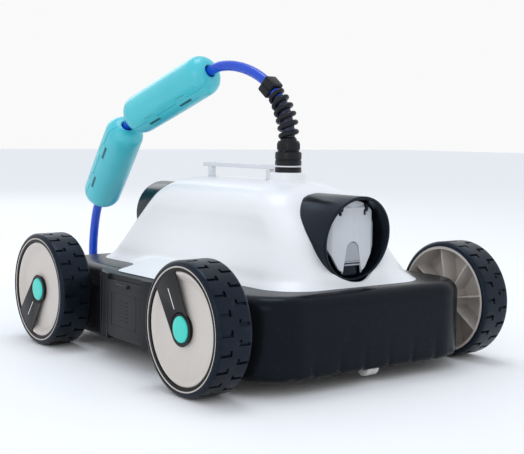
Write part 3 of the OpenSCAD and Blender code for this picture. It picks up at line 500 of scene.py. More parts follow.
def block(low: Point, high: Point, soft: float = 0.0) -> Form:
    """A box between two corners with its edges cut back by soft."""
    middle = [(a + b) / 2 for a, b in zip(low, high)]
    outline = plate(high[0] - middle[0], high[1] - middle[1], max(soft, 0.01), arc=3)
    return prism(outline, low[2], high[2], soft).shifted(middle[0], middle[1], 0)


def rod(a: Point, b: Point, radius: float, steps: int = 24, soft: float = 0.3) -> Form:
    """A round bar from a to b with softened ends."""
    start, end = Vector(a), Vector(b)
    length = (end - start).length
    form = turned([(0.01, 0), (radius - soft, 0), (radius, soft), (radius, length - soft),
                   (radius - soft, length), (0.01, length)], steps, closed=False)
    return form.moved(aim(start, end))


def aim(a: Vector, b: Vector) -> Matrix:
    """Transform that puts Z along the line from a to b, starting at a."""
    return Matrix.Translation(a) @ (b - a).to_track_quat("Z", "Y").to_matrix().to_4x4()


def placed(name: str, data: Any) -> bpy.types.Object:
    """A new object in the scene for a mesh, a lamp or a camera."""
    made = bpy.data.objects.new(name, data)
    bpy.context.scene.collection.objects.link(made)
    return made


def show(form: Form, name: str, finish: Finish, body: str, *stands_for: str,
         bevel: float = 0.0, smooth: float = 35.0, cuts: Sequence[Form] = ()) -> bpy.types.Object:
    """Turns a form into a finished piece on its body.

    Args:
        form: The piece's form.
        name: The piece's name.
        finish: Its main finish.
        body: The CAD body that it rides on.
        stands_for: CAD nodes that it replaces.
        bevel: Width of the rounding put on its sharp edges.
        smooth: Angle over which an edge stays sharp.
        cuts: Forms that are cut out of it in turn.

    Returns:
        The piece.
    """
    piece = placed(name, form.mesh(name))
    for cut in cuts:
        tool = placed(name + "_cut", cut.mesh(name + "_cut"))
        modifier = piece.modifiers.new("cut", "BOOLEAN")
        modifier.object = tool
        modifier.operation = "DIFFERENCE"
        modifier.solver = "EXACT"
        settle(piece)
        bpy.data.objects.remove(tool)
    if bevel:
        modifier = piece.modifiers.new("soft", "BEVEL")
        modifier.width = bevel * MM
        modifier.segments = 3
        modifier.limit_method = "ANGLE"
        modifier.angle_limit = math.radians(BEVEL_FROM)
        settle(piece)
    piece.data.materials.clear()
    piece.data.materials.append(finish.make())
    piece.data.shade_smooth()
    piece.data.set_sharp_from_angle(angle=math.radians(smooth))
    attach(piece, body)
    if stands_for:
        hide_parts(*stands_for)
    log.info("%s: %d faces on %s", name, len(piece.data.polygons), body)
    return piece


def settle(piece: bpy.types.Object) -> None:
    """Replaces the piece's mesh by its modified shape and removes its modifiers."""
    bpy.context.view_layer.update()
    made = bpy.data.meshes.new_from_object(
        piece.evaluated_get(bpy.context.evaluated_depsgraph_get()))
    piece.modifiers.clear()
    piece.data = made


# ------------------------------------------------------------------ repeats made by Geometry Nodes


class Repeat(Enum):
    """The rules by which a small shape is repeated or a line is thickened."""

    RING = "ring"
    ROWS = "rows"
    SWEEP = "sweep"


@dataclass
class Grower:
    """Builds and keeps the Geometry Nodes trees, one for each rule."""

    trees: dict[Repeat, bpy.types.NodeTree] = field(default_factory=dict)

    def tree(self, rule: Repeat) -> bpy.types.NodeTree:
        """The tree of a rule, built on its first use."""
        if rule not in self.trees:
            self.trees[rule] = {Repeat.RING: self.ring, Repeat.ROWS: self.rows,
                                Repeat.SWEEP: self.sweep}[rule]()
        return self.trees[rule]

    @staticmethod
    def blank(name: str, inputs: dict[str, str]) -> tuple[bpy.types.NodeTree, bpy.types.Node]:
        """Starts a tree with a geometry in and out.

        Args:
            name: The tree's name.
            inputs: Name and socket type of each further input.

        Returns:
            The tree and its input node.
        """
        tree = bpy.data.node_groups.new(name, "GeometryNodeTree")
        tree.interface.new_socket("Geometry", in_out="INPUT", socket_type="NodeSocketGeometry")
        for label, kind in inputs.items():
            tree.interface.new_socket(label, in_out="INPUT", socket_type=kind)
        tree.interface.new_socket("Finish", in_out="INPUT", socket_type="NodeSocketMaterial")
        tree.interface.new_socket("Geometry", in_out="OUTPUT", socket_type="NodeSocketGeometry")
        return tree, tree.nodes.new("NodeGroupInput")

    @staticmethod
    def close(tree: bpy.types.NodeTree, start: bpy.types.Node, made: Any, weld: bool = True) -> None:
        """Ends a tree in Realize Instances and Set Material."""
        real = add_node(tree, "GeometryNodeRealizeInstances", {}, {0: made})
        last = real.outputs[0]
        if weld:
            last = add_node(tree, "GeometryNodeMergeByDistance", {},
                            {"Geometry": last, "Distance": WELD_M}).outputs[0]
        dressed = add_node(tree, "GeometryNodeSetMaterial", {},
                           {"Geometry": last, "Material": start.outputs["Finish"]})
        add_node(tree, "NodeGroupOutput", {}, {0: dressed.outputs[0]})

    def ring(self) -> bpy.types.NodeTree:
        """Copies of a shape turned round Z, Count of them."""
        tree, start = self.blank("repeat_round_axis", {"Count": "NodeSocketInt"})
        points = add_node(tree, "GeometryNodePoints", {}, {"Count": start.outputs["Count"]})
        index = Sock(tree, add_node(tree, "GeometryNodeInputIndex").outputs[0])
        turn = index * math.tau / Sock(tree, start.outputs["Count"])
        angle = add_node(tree, "ShaderNodeCombineXYZ", {}, {"Z": turn})
        copies = add_node(tree, "GeometryNodeInstanceOnPoints", {}, {
            "Points": points.outputs[0], "Instance": start.outputs["Geometry"],
            "Rotation": angle.outputs[0]})
        self.close(tree, start, copies.outputs[0])
        return tree

    def rows(self) -> bpy.types.NodeTree:
        """Copies of a shape in rows: Across in a row, Total in all, Step X and Step Y apart."""
        tree, start = self.blank("repeat_in_rows", {
            "Across": "NodeSocketInt", "Total": "NodeSocketInt",
            "Step X": "NodeSocketFloat", "Step Y": "NodeSocketFloat"})
        index = Sock(tree, add_node(tree, "GeometryNodeInputIndex").outputs[0])
        across = Sock(tree, start.outputs["Across"])
        column = index.math("MODULO", index, across)
        row = index.math("FLOOR", (index + 0.5) / across)
        place = add_node(tree, "ShaderNodeCombineXYZ", {}, {
            "X": column * Sock(tree, start.outputs["Step X"]),
            "Y": row * Sock(tree, start.outputs["Step Y"])})
        points = add_node(tree, "GeometryNodePoints", {}, {
            "Count": start.outputs["Total"], "Position": place.outputs[0]})
        copies = add_node(tree, "GeometryNodeInstanceOnPoints", {}, {
            "Points": points.outputs[0], "Instance": start.outputs["Geometry"]})
        self.close(tree, start, copies.outputs[0], weld=False)
        return tree

    def sweep(self) -> bpy.types.NodeTree:
        """A round bar of one Radius with Sides faces along a line of edges."""
        tree, start = self.blank("thicken_line", {
            "Radius": "NodeSocketFloat", "Sides": "NodeSocketInt"})
        line = add_node(tree, "GeometryNodeMeshToCurve", {}, {0: start.outputs["Geometry"]})
        section = add_node(tree, "GeometryNodeCurvePrimitiveCircle", {}, {
            "Resolution": start.outputs["Sides"], "Radius": start.outputs["Radius"]})
        bar = add_node(tree, "GeometryNodeCurveToMesh", {}, {
            "Curve": line.outputs[0], "Profile Curve": section.outputs[0], "Fill Caps": True})
        self.close(tree, start, bar.outputs[0], weld=False)
        return tree

    def grow(self, data: bpy.types.Mesh, rule: Repeat, finish: Finish, **values: Any) -> bpy.types.Mesh:
        """Runs a tree on a mesh.

        Args:
            data: The small shape or the line, in metres.
            rule: The tree to run.
            finish: The finish that Set Material gives.
            **values: The tree's inputs, with _ for a space.

        Returns:
            The plain mesh that the tree makes.
        """
        tree = self.tree(rule)
        carrier = placed("carrier", data)
        modifier = carrier.modifiers.new("grow", "NODES")
        modifier.node_group = tree
        wanted = {name.replace("_", " "): value for name, value in values.items()}
        wanted["Finish"] = finish.make()
        for item in tree.interface.items_tree:
            if item.in_out == "INPUT" and item.name in wanted:
                modifier[item.identifier] = wanted[item.name]
        settle(carrier)
        made = carrier.data
        bpy.data.objects.remove(carrier)
        return made


GROW = Grower()


def form_of(data: bpy.types.Mesh) -> Form:
    """A mesh in metres as a form in millimetres."""
    return Form([v.co / MM for v in data.vertices], [list(p.vertices) for p in data.polygons])


def around(form: Form, count: int, finish: Finish) -> Form:
    """The form repeated round Z."""
    return form_of(GROW.grow(form.mesh("unit"), Repeat.RING, finish, Count=count))


def in_rows(form: Form, across: int, down: int, step: Flat, finish: Finish) -> Form:
    """The form repeated in rows from its own place towards +X and +Y."""
    return form_of(GROW.grow(form.mesh("unit"), Repeat.ROWS, finish, Across=across,
                             Total=across * down, Step_X=step[0] * MM, Step_Y=step[1] * MM))


def thickened(line: Sequence[Vector], radius: float, sides: int, finish: Finish) -> Form:
    """A round bar along a line of points."""
    data = bpy.data.meshes.new("line")
    data.from_pydata([p * MM for p in line], [(i, i + 1) for i in range(len(line) - 1)], [])
    return form_of(GROW.grow(data, Repeat.SWEEP, finish, Radius=radius * MM, Sides=sides))


# ------------------------------------------------------------------ curves


def smooth(points: Sequence[Sequence[float]], step: float) -> list[Vector]:
    """A smooth curve through given points.

    Args:
        points: The points, of any number of coordinates.
        step: Longest distance between two points of the result.

    Returns:
        The curve's points, the given ones among them.
    """
    p = [Vector(q) for q in points]
    chord = [(b - a).length for a, b in zip(p, p[1:])]
    head = [(b - a) / c for a, b, c in zip(p, p[1:], chord)]
    last = len(p) - 1
    slope = [head[0]] + [(head[i - 1] * chord[i] + head[i] * chord[i - 1]) / (chord[i - 1] + chord[i])
                         for i in range(1, last)] + [head[-1]]
    result = []
    for i in range(last):
        count = max(1, math.ceil(chord[i] / step))
        for k in range(count):
            t = k / count
            result.append((2 * t**3 - 3 * t**2 + 1) * p[i] + (t**3 - 2 * t**2 + t) * chord[i] * slope[i]
                          + (3 * t**2 - 2 * t**3) * p[i + 1] + (t**3 - t**2) * chord[i] * slope[i + 1])
    return result + [p[-1]]


def length_of(line: Sequence[Vector]) -> float:
    """Length of a line of points."""
    return sum((b - a).length for a, b in zip(line, line[1:]))


def ease(t: float) -> float:
    """Smooth step from 0 to 1."""
    t = min(1.0, max(0.0, t))
    return t * t * (3 - 2 * t)


# ------------------------------------------------------------------ cable


@dataclass
class Cable:
    """The floating cable: its route over the floats, the stored coil, tie and connector."""

    diameter: float = 12.0
    length_m: float = 10.0
    exit: Point = (0, -69, 245)
    inside_z: float = 238.0
    route: tuple[Point, ...] = (
        (0, -69, 245), (0, -68, 258), (-1, -65, 271), (-2, -59, 284), (-4, -49, 298),
        (-7, -32, 313), (-11, -10, 324), (-14, 8, 329), (-17, 25, 331), (-20, 41, 330),
        (-22, 54, 326), (-25, 72, 319), (-43, 174, 278), (-46, 192, 270), (-47, 206, 261),
        (-45, 220, 249), (-31, 300, 176), (-28, 315, 161), (-26, 328, 143), (-24, 338, 122),
        (-23, 344, 98), (-22, 348, 66), (-22, 356, 36), (-22, 378, 14), (-22, 408, 6),
        (-22, 420, 6))
    tail: tuple[Point, ...] = ((60, 518, 26), (76, 519, 21), (94, 514, 16), (112, 504, 12))
    coil_centre: Flat = (106, 460)
    lower_rings: tuple[float, ...] = (128, 116, 104, 92, 80)
    top_rings: tuple[float, ...] = (122, 110, 98, 86)
    layer_z: tuple[float, ...] = (8.2, 20.2, 32.0)
    step_over: float = 50.0
    steps: int = 48
    leaving: tuple[Flat, ...] = ((0, 0), (18, 0.5), (34, 5))
    tie_turn: float = 300.0
    tie_width: float = 14.0
    tie_thick: float = 1.7
    tie_gap: float = 0.4
    plug_radius: float = 11.5
    plug_length: float = 46.0
    first_float: tuple[Point, Point] = ((-22, 54, 326), (-46, 192, 270))
    second_float: tuple[Point, Point] = ((-47, 206, 261), (-28, 315, 161))
    first_seam: Point = (-0.55, -0.35, -0.75)
    second_seam: Point = (-0.95, 0.15, -0.2)

    def on_coil(self, turn: float, radius: float, z: float) -> Vector:
        """The point of the coil at a turn from its start and at a radius."""
        x, y = polar(radius, 180 - turn)
        return Vector((self.coil_centre[0] + x, self.coil_centre[1] + y, z))

    def coil_line(self) -> list[Vector]:
        """The coil's turns, wound inwards, outwards and inwards, each a diameter from the last."""
        rings = ([(r, self.layer_z[0]) for r in self.lower_rings]
                 + [(r, self.layer_z[1]) for r in reversed(self.lower_rings)]
                 + [(r, self.layer_z[2]) for r in self.top_rings])
        line = []
        for i, (radius, z) in enumerate(rings):
            next_radius, next_z = rings[i + 1] if i + 1 < len(rings) else (radius, z)
            for k in range(self.steps):
                turn = 360 * k / self.steps
                w = ease((turn - 360 + self.step_over) / self.step_over)
                line.append(self.on_coil(turn, radius + (next_radius - radius) * w, z + (next_z - z) * w))
        return line

    def line(self) -> list[Vector]:
        """The whole centreline from inside the swivel to the connector."""
        coil = self.coil_line()
        into = smooth([*self.route, coil[0]], 4.0)
        off = [self.on_coil(turn, self.top_rings[-1] - shrink, self.layer_z[2] - shrink * 0.1)
               for turn, shrink in self.leaving]
        out = smooth([coil[-1], *off, *self.tail], 5.0)
        return [Vector((*self.exit[:2], self.inside_z))] + into[:-1] + coil + out[1:]

    def build(self) -> None:
        line = self.line()
        log.info("cable length %.3f m", length_of(line) * MM)
        cable = show(thickened(line, self.diameter / 2, 16, CABLE_BLUE), "floating_cable", CABLE_BLUE,
                     "swivel", "cable", "cable_coil", smooth=60)
        pieces = [cable, *self.tie(), *self.connector(), *Relief(self).build()]
        for ends, seam, node in ((self.first_float, self.first_seam, "float_1"),
                                 (self.second_float, self.second_seam, "float_2")):
            pieces += Float(ends, seam, node).build()
        [tuple(p * MM) for p in line]

    def tie(self) -> list[bpy.types.Object]:
        """The strap that holds the coil, with its folded end."""
        outermost, innermost = self.lower_rings[0], self.lower_rings[-1]
        half_x = (outermost - innermost + self.diameter) / 2 + self.tie_gap
        half_z = self.diameter * 1.5 + self.tie_gap
        half_y = self.tie_width / 2
        rings = []
        for out, y in ((0.0, half_y), (0.0, -half_y), (self.tie_thick, -half_y), (self.tie_thick, half_y)):
            rings.append([(x, y, z) for x, z in plate(half_x + out, half_z + out, 5.0 + out, arc=6)])
        strap = loft(rings, closed=True)
        buckle = block((-12, -half_y - 1.5, half_z - 0.2), (6, half_y + 1.5, half_z + 1.9), 0.9)
        place = (Matrix.Translation((*self.coil_centre, 2.2 + self.diameter * 1.5))
                 @ spin(self.tie_turn, "Z") @ Matrix.Translation(((outermost + innermost) / 2, 0, 0)))
        return [show(strap.moved(place), "coil_strap", TIE_WEBBING, "swivel", "coil_tie", bevel=0.3),
                show(buckle.moved(place), "coil_strap_end", PLUG_BLACK, "swivel")]

    def connector(self) -> list[bpy.types.Object]:
        """The supply connector with its grip rings and two pins."""
        start = Vector(self.tail[-1])
        heading = start - Vector(self.tail[-2])
        place = aim(start, start + Vector((heading.x, heading.y, 0)))
        r, l = self.plug_radius, self.plug_length
        profile = [(0.01, -6), (6.2, -6), (7.4, -5)]
        for z in (-4 + 3.4 * k for k in range(5)):
            profile += [(8.4, z), (8.4, z + 1.8), (7.0, z + 2.2), (7.0, z + 3.0)]
        profile += [(8.6, 13.9), (r - 0.8, 14), (r, 15), (r, 22), (r - 0.7, 22.6), (r - 0.7, 24), (r, 24.6),
                    (r, l - 8), (r - 1.2, l - 7.4), (r - 1.2, l - 1), (r - 2, l), (r - 3, l), (r - 3, l - 6),
                    (0.01, l - 6)]
        body = turned(profile, 48, closed=False)
        grip = around(block((r - 0.6, -0.8, 26), (r + 0.25, 0.8, 37), 0.4), 20, PLUG_BLACK)
        pins = Form().join(*(rod((x, 0, l - 7), (x, 0, l + 7.9), 1.5, soft=0.6) for x in (-4, 4)))
        return [show(body.join(grip).moved(place), "supply_connector", PLUG_BLACK, "swivel", "connector",
                     smooth=30),
                show(pins.moved(place), "connector_pins", PIN_BRASS, "swivel")]


@dataclass
class Relief:
    """The open spiral over the cable where it leaves the swivel, and the clamp above it."""

    cable: Cable
    turns: float = 6.2
    wire: float = 2.9
    coil_radius: float = 7.2
    swell: float = 2.4
    ahead: float = 1.5
    # Radius of the darker blue tube that paints the cable's shade inside the spiral, and the share of the
    # bend it covers.
    painted_shade_tube: float = 7.2
    painted_shade_share: float = 0.86
    bore: float = 6.15
    route_points: int = 5
    collar_from: Point = (-4, -49, 298)
    collar_to: Point = (-7, -32, 313)
    collar_size: tuple[float, float, float] = (17, 20, 17)

    def spiral(self) -> Form:
        """The spiral wire, widest in its middle."""
        line = smooth(self.cable.route[:self.route_points], 0.8)
        total = length_of(line)
        run, coil = 0.0, []
        normal = Vector((1, 0, 0))
        for i, here in enumerate(line):
            after, before = line[min(i + 1, len(line) - 1)], line[max(i - 1, 0)]
            tangent = (after - before).normalized()
            normal = (normal - normal.dot(tangent) * tangent).normalized()
            side = tangent.cross(normal)
            if i:
                run += (here - line[i - 1]).length
            share = run / total
            angle = math.tau * self.turns * share
            bulge = math.sin(math.pi * min(1.0, 0.12 + share * 0.9)) ** 0.8
            radius = self.coil_radius + self.swell * bulge
            coil.append(here + radius * (math.cos(angle) * normal + math.sin(angle) * side)
                        + tangent * self.ahead)
        return thickened(smooth(coil, 0.9), self.wire, 10, RELIEF_RUBBER)

    def build(self) -> list[bpy.types.Object]:
        """Makes a darker blue tube over the cable inside the spiral as painted shade, the spiral with its
        foot ring, and the clamp.
        """
        foot = turned([(self.bore, 244.6), (9.3, 244.6), (9.3, 246.5), (8.2, 248.5), (self.bore, 249.5)], 40)
        place = aim(Vector(self.collar_from), Vector(self.collar_to))
        w, d, h = self.collar_size
        shell = block((-w / 2, -d / 2, 1.5), (w / 2, d / 2, 1.5 + h), 2.2)
        seam = block((-w / 2 - 1, -0.4, 0), (w / 2 + 1, 0.4, h + 3))
        bore = rod((0, 0, -2), (0, 0, h + 5), self.bore, 32)
        bend = smooth(self.cable.route[:self.route_points], 2.0)
        # A darker blue tube over the cable within the spiral: painted shade of the cable.
        painted_shade_tube = thickened(bend[:round(len(bend) * self.painted_shade_share)], self.painted_shade_tube, 24, CABLE_PAINTED_SHADE)
        return [show(painted_shade_tube, "relief_sleeve", CABLE_PAINTED_SHADE, "swivel", smooth=50),
                show(self.spiral().join(foot.shifted(*self.cable.exit[:2], 0)), "spiral_relief",
                     RELIEF_RUBBER, "swivel", "strain_relief", smooth=60),
                show(shell.moved(place), "clamp_collar_body", SWIVEL_BLACK, "swivel", "clamp_collar",
                     cuts=[bore.moved(place), seam.moved(place)], smooth=40)]


@dataclass
class Float:
    """One float: two half shells with a seam along each side and two clips on each seam."""

    ends: tuple[Point, Point]
    seam: Point
    node: str
    radius: float = 24.9
    clip_radius: float = 25.5
    round_end: float = 17.5
    hole: float = 7.3
    wall: float = 3.0
    clip_length: float = 21.0
    clips_at: Flat = (0.29, 0.68)
    groove: float = 0.75

    def place(self) -> Matrix:
        """Puts Z along the float and X towards its seam."""
        start, end = Vector(self.ends[0]), Vector(self.ends[1])
        z = (end - start).normalized()
        x = (Vector(self.seam) - Vector(self.seam).dot(z) * z).normalized()
        y = z.cross(x)
        return Matrix.Translation(start) @ Matrix((x, y, z)).transposed().to_4x4()

    def profile(self, length: float) -> list[Flat]:
        """Outer line from one hole to the other, then back inside."""
        e, r, h = self.round_end, self.radius, self.hole
        flat = max(r - e, h + 2)
        outer = [(h, 2.0), (h + 0.6, 0.6), (h + 1.6, 0)]
        outer += [(flat + (r - flat) * s, e - e * c) for c, s in (polar(1, t) for t in range(0, 91, 9))]
        waist = [(r + 0.35 * math.sin(math.pi * k / 6), e + (length - 2 * e) * k / 6) for k in range(1, 6)]
        far = [(q, length - z) for q, z in reversed(outer)]
        inner = [(q - self.wall if q > h + 5 else q + 0.01, min(max(z, self.wall), length - self.wall))
                 for q, z in ((h, length - 3), (r, length - e), (r, e), (h, 3))]
        return outer + waist + far + inner

    def build(self) -> list[bpy.types.Object]:
        """Makes the shells with their grooves, the clips, and dark strips beside the clips that carry painted
        shadow for the slots.
        """
        length = (Vector(self.ends[1]) - Vector(self.ends[0])).length
        turns = sorted({round(5.0 * k, 2) for k in range(72)}
                       | {round(a + d, 2) % 360 for a in (0, 180) for d in (-1.6, -1.1, 1.1, 1.6)})
        cuts = [self.groove if min(turn % 180, -turn % 180) < 1.3 else 0.0 for turn in turns]
        shells = loft([[(*polar(r - (cut if r > self.hole + 2 else 0.0), turn), z)
                        for turn, cut in zip(turns, cuts)] for r, z in self.profile(length)], closed=True)
        # slots collects raised dark strips, not cuts: painted shadow of the slots beside the clips.
        pads, slots = Form(), Form()
        for side in (0, 180):
            for share in self.clips_at:
                z0 = length * share - self.clip_length / 2
                z1 = z0 + self.clip_length
                pads.join(self.pad(side - 9, side + 9, z0, z1, self.clip_radius))
                pads.join(self.pad(side - 22, side - 19, z0 - 2, z1 + 2, self.clip_radius - 0.25))
                # Two dark strips beside each clip, standing proud of the shell: painted shadow of its slots.
                slots.join(self.pad(side - 18.4, side - 9.6, z0, z1, self.radius + 0.40))
                slots.join(self.pad(side + 9.6, side + 11.4, z0 + 2, z1 - 2, self.radius + 0.40))
        place = self.place()
        return [show(shells.moved(place), self.node + "_shells", FLOAT_AQUA, "swivel", self.node,
                     smooth=32),
                show(pads.moved(place), self.node + "_clips", FLOAT_AQUA, "swivel", smooth=32),
                show(slots.moved(place), self.node + "_clip_slots", CLIP_PAINTED_SHADOW, "swivel", smooth=32)]

    def pad(self, turn0: float, turn1: float, z0: float, z1: float, outer: float) -> Form:
        """A patch bent round the float between two turns and two heights, with soft edges."""
        rings = []
        for radius, soft in ((self.radius - 1.5, 0.0), (outer - 0.3, 0.0), (outer, 0.35)):
            edge = math.degrees(soft / self.radius)
            corners = [(turn0 + edge, z0 + soft), (turn1 - edge, z0 + soft),
                       (turn1 - edge, z1 - soft), (turn0 + edge, z1 - soft)]
            ring = []
            for (t0, za), (t1, zb) in zip(corners, corners[1:] + corners[:1]):
                ring += [(*polar(radius, t0 + (t1 - t0) * k / 4), za + (zb - za) * k / 4) for k in range(4)]
            rings.append(ring)
        return loft(rings)


@dataclass
class Swivel:
    """The cable swivel: a fixed seat on the boss and the fitting that turns on it."""

    y: float = -69
    radius: float = 14.8
    seat_z: float = 210.0
    seat_top: float = 215.6
    rotor_z: float = 217.9
    step_z: float = 232.9
    exit_z: float = 245.0
    stem_radius: float = 7.9
    ribs: int = 28
    grips: int = 6
    tab_turn: float = -150.0

    def build(self) -> None:
        """Makes the seat and the fitting."""
        r, stem, low = self.radius, self.stem_radius, self.rotor_z
        seat = turned([(stem + 0.2, self.seat_z), (r, self.seat_z), (r, self.seat_top - 0.6),
                       (r - 0.6, self.seat_top), (stem + 0.2, self.seat_top)], 72)
        show(seat.shifted(0, self.y, 0), "swivel_seat_ring", SWIVEL_BLACK, "chassis", "swivel_seat")
        top, step, cap = self.exit_z, self.step_z, r - 2.3
        body = turned([
            (6.3, 186), (11.4, 186), (11.4, 189), (stem, 189.3), (stem, low), (r - 0.5, low),
            (r, low + 0.5), (r, low + 5), (r - 0.7, low + 5.4), (r - 0.7, low + 6.4), (r, low + 6.8),
            (r, step - 1.6), (r - 0.6, step - 0.5), (cap + 0.4, step), (cap - 0.5, step + 0.6),
            (cap - 0.5, step + 1.6), (cap, step + 2), (cap, top - 2.4), (cap - 0.5, top - 1.4),
            (cap - 1.2, top), (7.0, top), (6.3, top - 0.6)], 72)
        rib = block((cap - 0.6, -0.55, step + 2.6), (cap + 0.35, 0.55, top - 3), 0.3)
        grip = block((r - 0.9, -2.2, low + 7.2), (r, 2.2, step - 2.2), 0.3)
        tab = block((r - 3, -2.6, step - 1.2), (r - 0.1, 2.6, step + 2.4), 0.4)
        form = body.join(around(rib, self.ribs, SWIVEL_BLACK), around(grip, self.grips, SWIVEL_BLACK),
                         tab.moved(spin(self.tab_turn, "Z")))
        show(form.shifted(0, self.y, 0), "swivel_fitting", SWIVEL_BLACK, "swivel", "swivel_rotor")


# ------------------------------------------------------------------ shell, base and handle


@dataclass
class Shell:
    """The white top shell with the swivel's boss."""

    deck_z: float = 97.1
    top_z: float = 200.0
    wall: float = 3.0
    nozzle_z: float = 145.0
    hood_radius: float = 44.8
    swivel_y: float = -69.0
    boss_radius: float = 20.3
    boss_top: float = 209.9
    foot_out: float = 50.0
    foot_share: float = 0.16
    foot_fade: Flat = (40.0, 58.0)
    keys: tuple[tuple[float, float, float, float], ...] = (
        (0, 102, 196, 44), (0.03, 99, 191, 43), (0.08, 94.5, 184.5, 42), (0.17, 90, 178, 41),
        (0.30, 82, 172, 40), (0.44, 74.5, 165, 38), (0.57, 71, 153, 37), (0.70, 69, 138, 36),
        (0.80, 65, 128, 35), (0.88, 58, 118.5, 34), (0.94, 49, 108, 31), (0.98, 37, 97, 27),
        (1, 24, 86.5, 20))

    def spread(self, y: float) -> float:
        """How much of the foot's spread a place along the length has."""
        start, run = self.foot_fade
        return 1 - ease((abs(y) - start) / run)

    def ring(self, share: float, half_x: float, half_y: float, corner: float, out: float) -> list[Point]:
        """One level outline of the shell at a share of its height."""
        z = self.deck_z + share * (self.top_z - self.deck_z)
        outline = plate(half_x, half_y, max(corner, 4), arc=14, run=34)
        return [(x + math.copysign(out * self.spread(y) * min(1.0, abs(x) / (half_x * 0.8)), x), y, z)
                for x, y in outline]

    def rings(self, thick: float, lift: float) -> list[list[Point]]:
        """All outlines from the foot up, thick inside the outer surface."""
        lines = smooth([(k[0] * 100, *k[1:]) for k in self.keys], 2.2)
        rings = []
        for share, half_x, half_y, corner in lines:
            f = share / 100
            out = self.foot_out * max(0.0, 1 - f / self.foot_share) ** 3
            ring = self.ring(f, half_x - thick, half_y - thick, corner, out)
            rings.append([(x, y, z - lift * f) for x, y, z in ring])
        return rings

    def build(self) -> None:
        """Makes the shell, open below and where the hoods and the swivel enter, and its boss."""
        outer, inner = self.rings(0, 0), self.rings(self.wall, self.wall)
        shell = loft(outer + inner[::-1], closed=True)
        size = len(outer[0])
        crown = (len(outer) - 1) * size
        shell.faces[crown:crown + size] = []
        shell.faces += [list(range(crown, crown + size)), list(range(crown + size, crown + 2 * size))]
        hoods = [rod((0, s * 118, self.nozzle_z), (0, s * 240, self.nozzle_z), self.hood_radius - 0.6, 96)
                 for s in (-1, 1)]
        stem = rod((0, self.swivel_y, 180), (0, self.swivel_y, 230), 9, 40)
        show(shell, "top_shell_moulding", SHELL_WHITE, "chassis", "top_shell",
             cuts=[Form().join(*hoods, stem)], smooth=42)
        r, low, top = self.boss_radius, self.top_z, self.boss_top
        boss = turned([(9, low - 1), (r + 2.2, low - 1), (r + 2.2, low), (r + 1.0, low + 0.5),
                       (r + 0.25, low + 1.6), (r, low + 3), (r, top - 1.4), (r - 0.4, top - 0.4),
                       (r - 1.4, top), (9, top)], 96)
        show(boss.shifted(0, self.swivel_y, 0), "swivel_boss", SHELL_WHITE, "chassis", smooth=50)


@dataclass
class Handle:
    """The thin carry handle: a bar on two posts with an eye round the swivel."""

    bar_low: float = 212.4
    bar_high: float = 217.4
    half_width: float = 4.5
    bar_end: float = 97.0
    eye_y: float = -69.0
    eye_radius: float = 15.6
    posts: tuple[float, float] = (-36.0, 81.0)
    foot_z: float = 200.05
    half_post: float = 4.0
    eye_low: float = 216.0
    eye_hole: float = 8.4

    def build(self) -> None:
        """Makes the bar, posts and eye as one moulding."""
        w, r, low, top = self.half_width, self.eye_radius, self.eye_low, self.bar_high
        y0 = self.eye_y + 16.4
        tip = [(x, self.bar_end - w + y) for x, y in (polar(w, t) for t in range(0, 181, 15))]
        bar = prism([(-w, y0), (w, y0)] + tip, self.bar_low, top, 1.1)
        eye = turned([(self.eye_hole, low), (r, low), (r, top - 0.3), (r - 0.3, top), (self.eye_hole, top)],
                     72).shifted(0, self.eye_y, 0)
        form = Form().join(bar, eye, block((-w, self.eye_y + 13, low), (w, y0 + 4, top), 0.3))
        levels = ((self.foot_z, 1.6), (self.foot_z + 0.6, 0.9), (self.foot_z + 1.8, 0.2),
                  (self.foot_z + 3, 0), (self.bar_low - 1.6, 0), (self.bar_low + 0.6, 0.7))
        ring = plate(w - 1.0, self.half_post, 1.6, arc=4)
        for y in self.posts:
            form.join(loft([[(x * (1 + grow / w), y + v * (1 + grow / self.half_post), z) for x, v in ring]
                            for z, grow in levels]))
        show(form, "carry_handle", HANDLE_WHITE, "chassis", "handle", smooth=40)


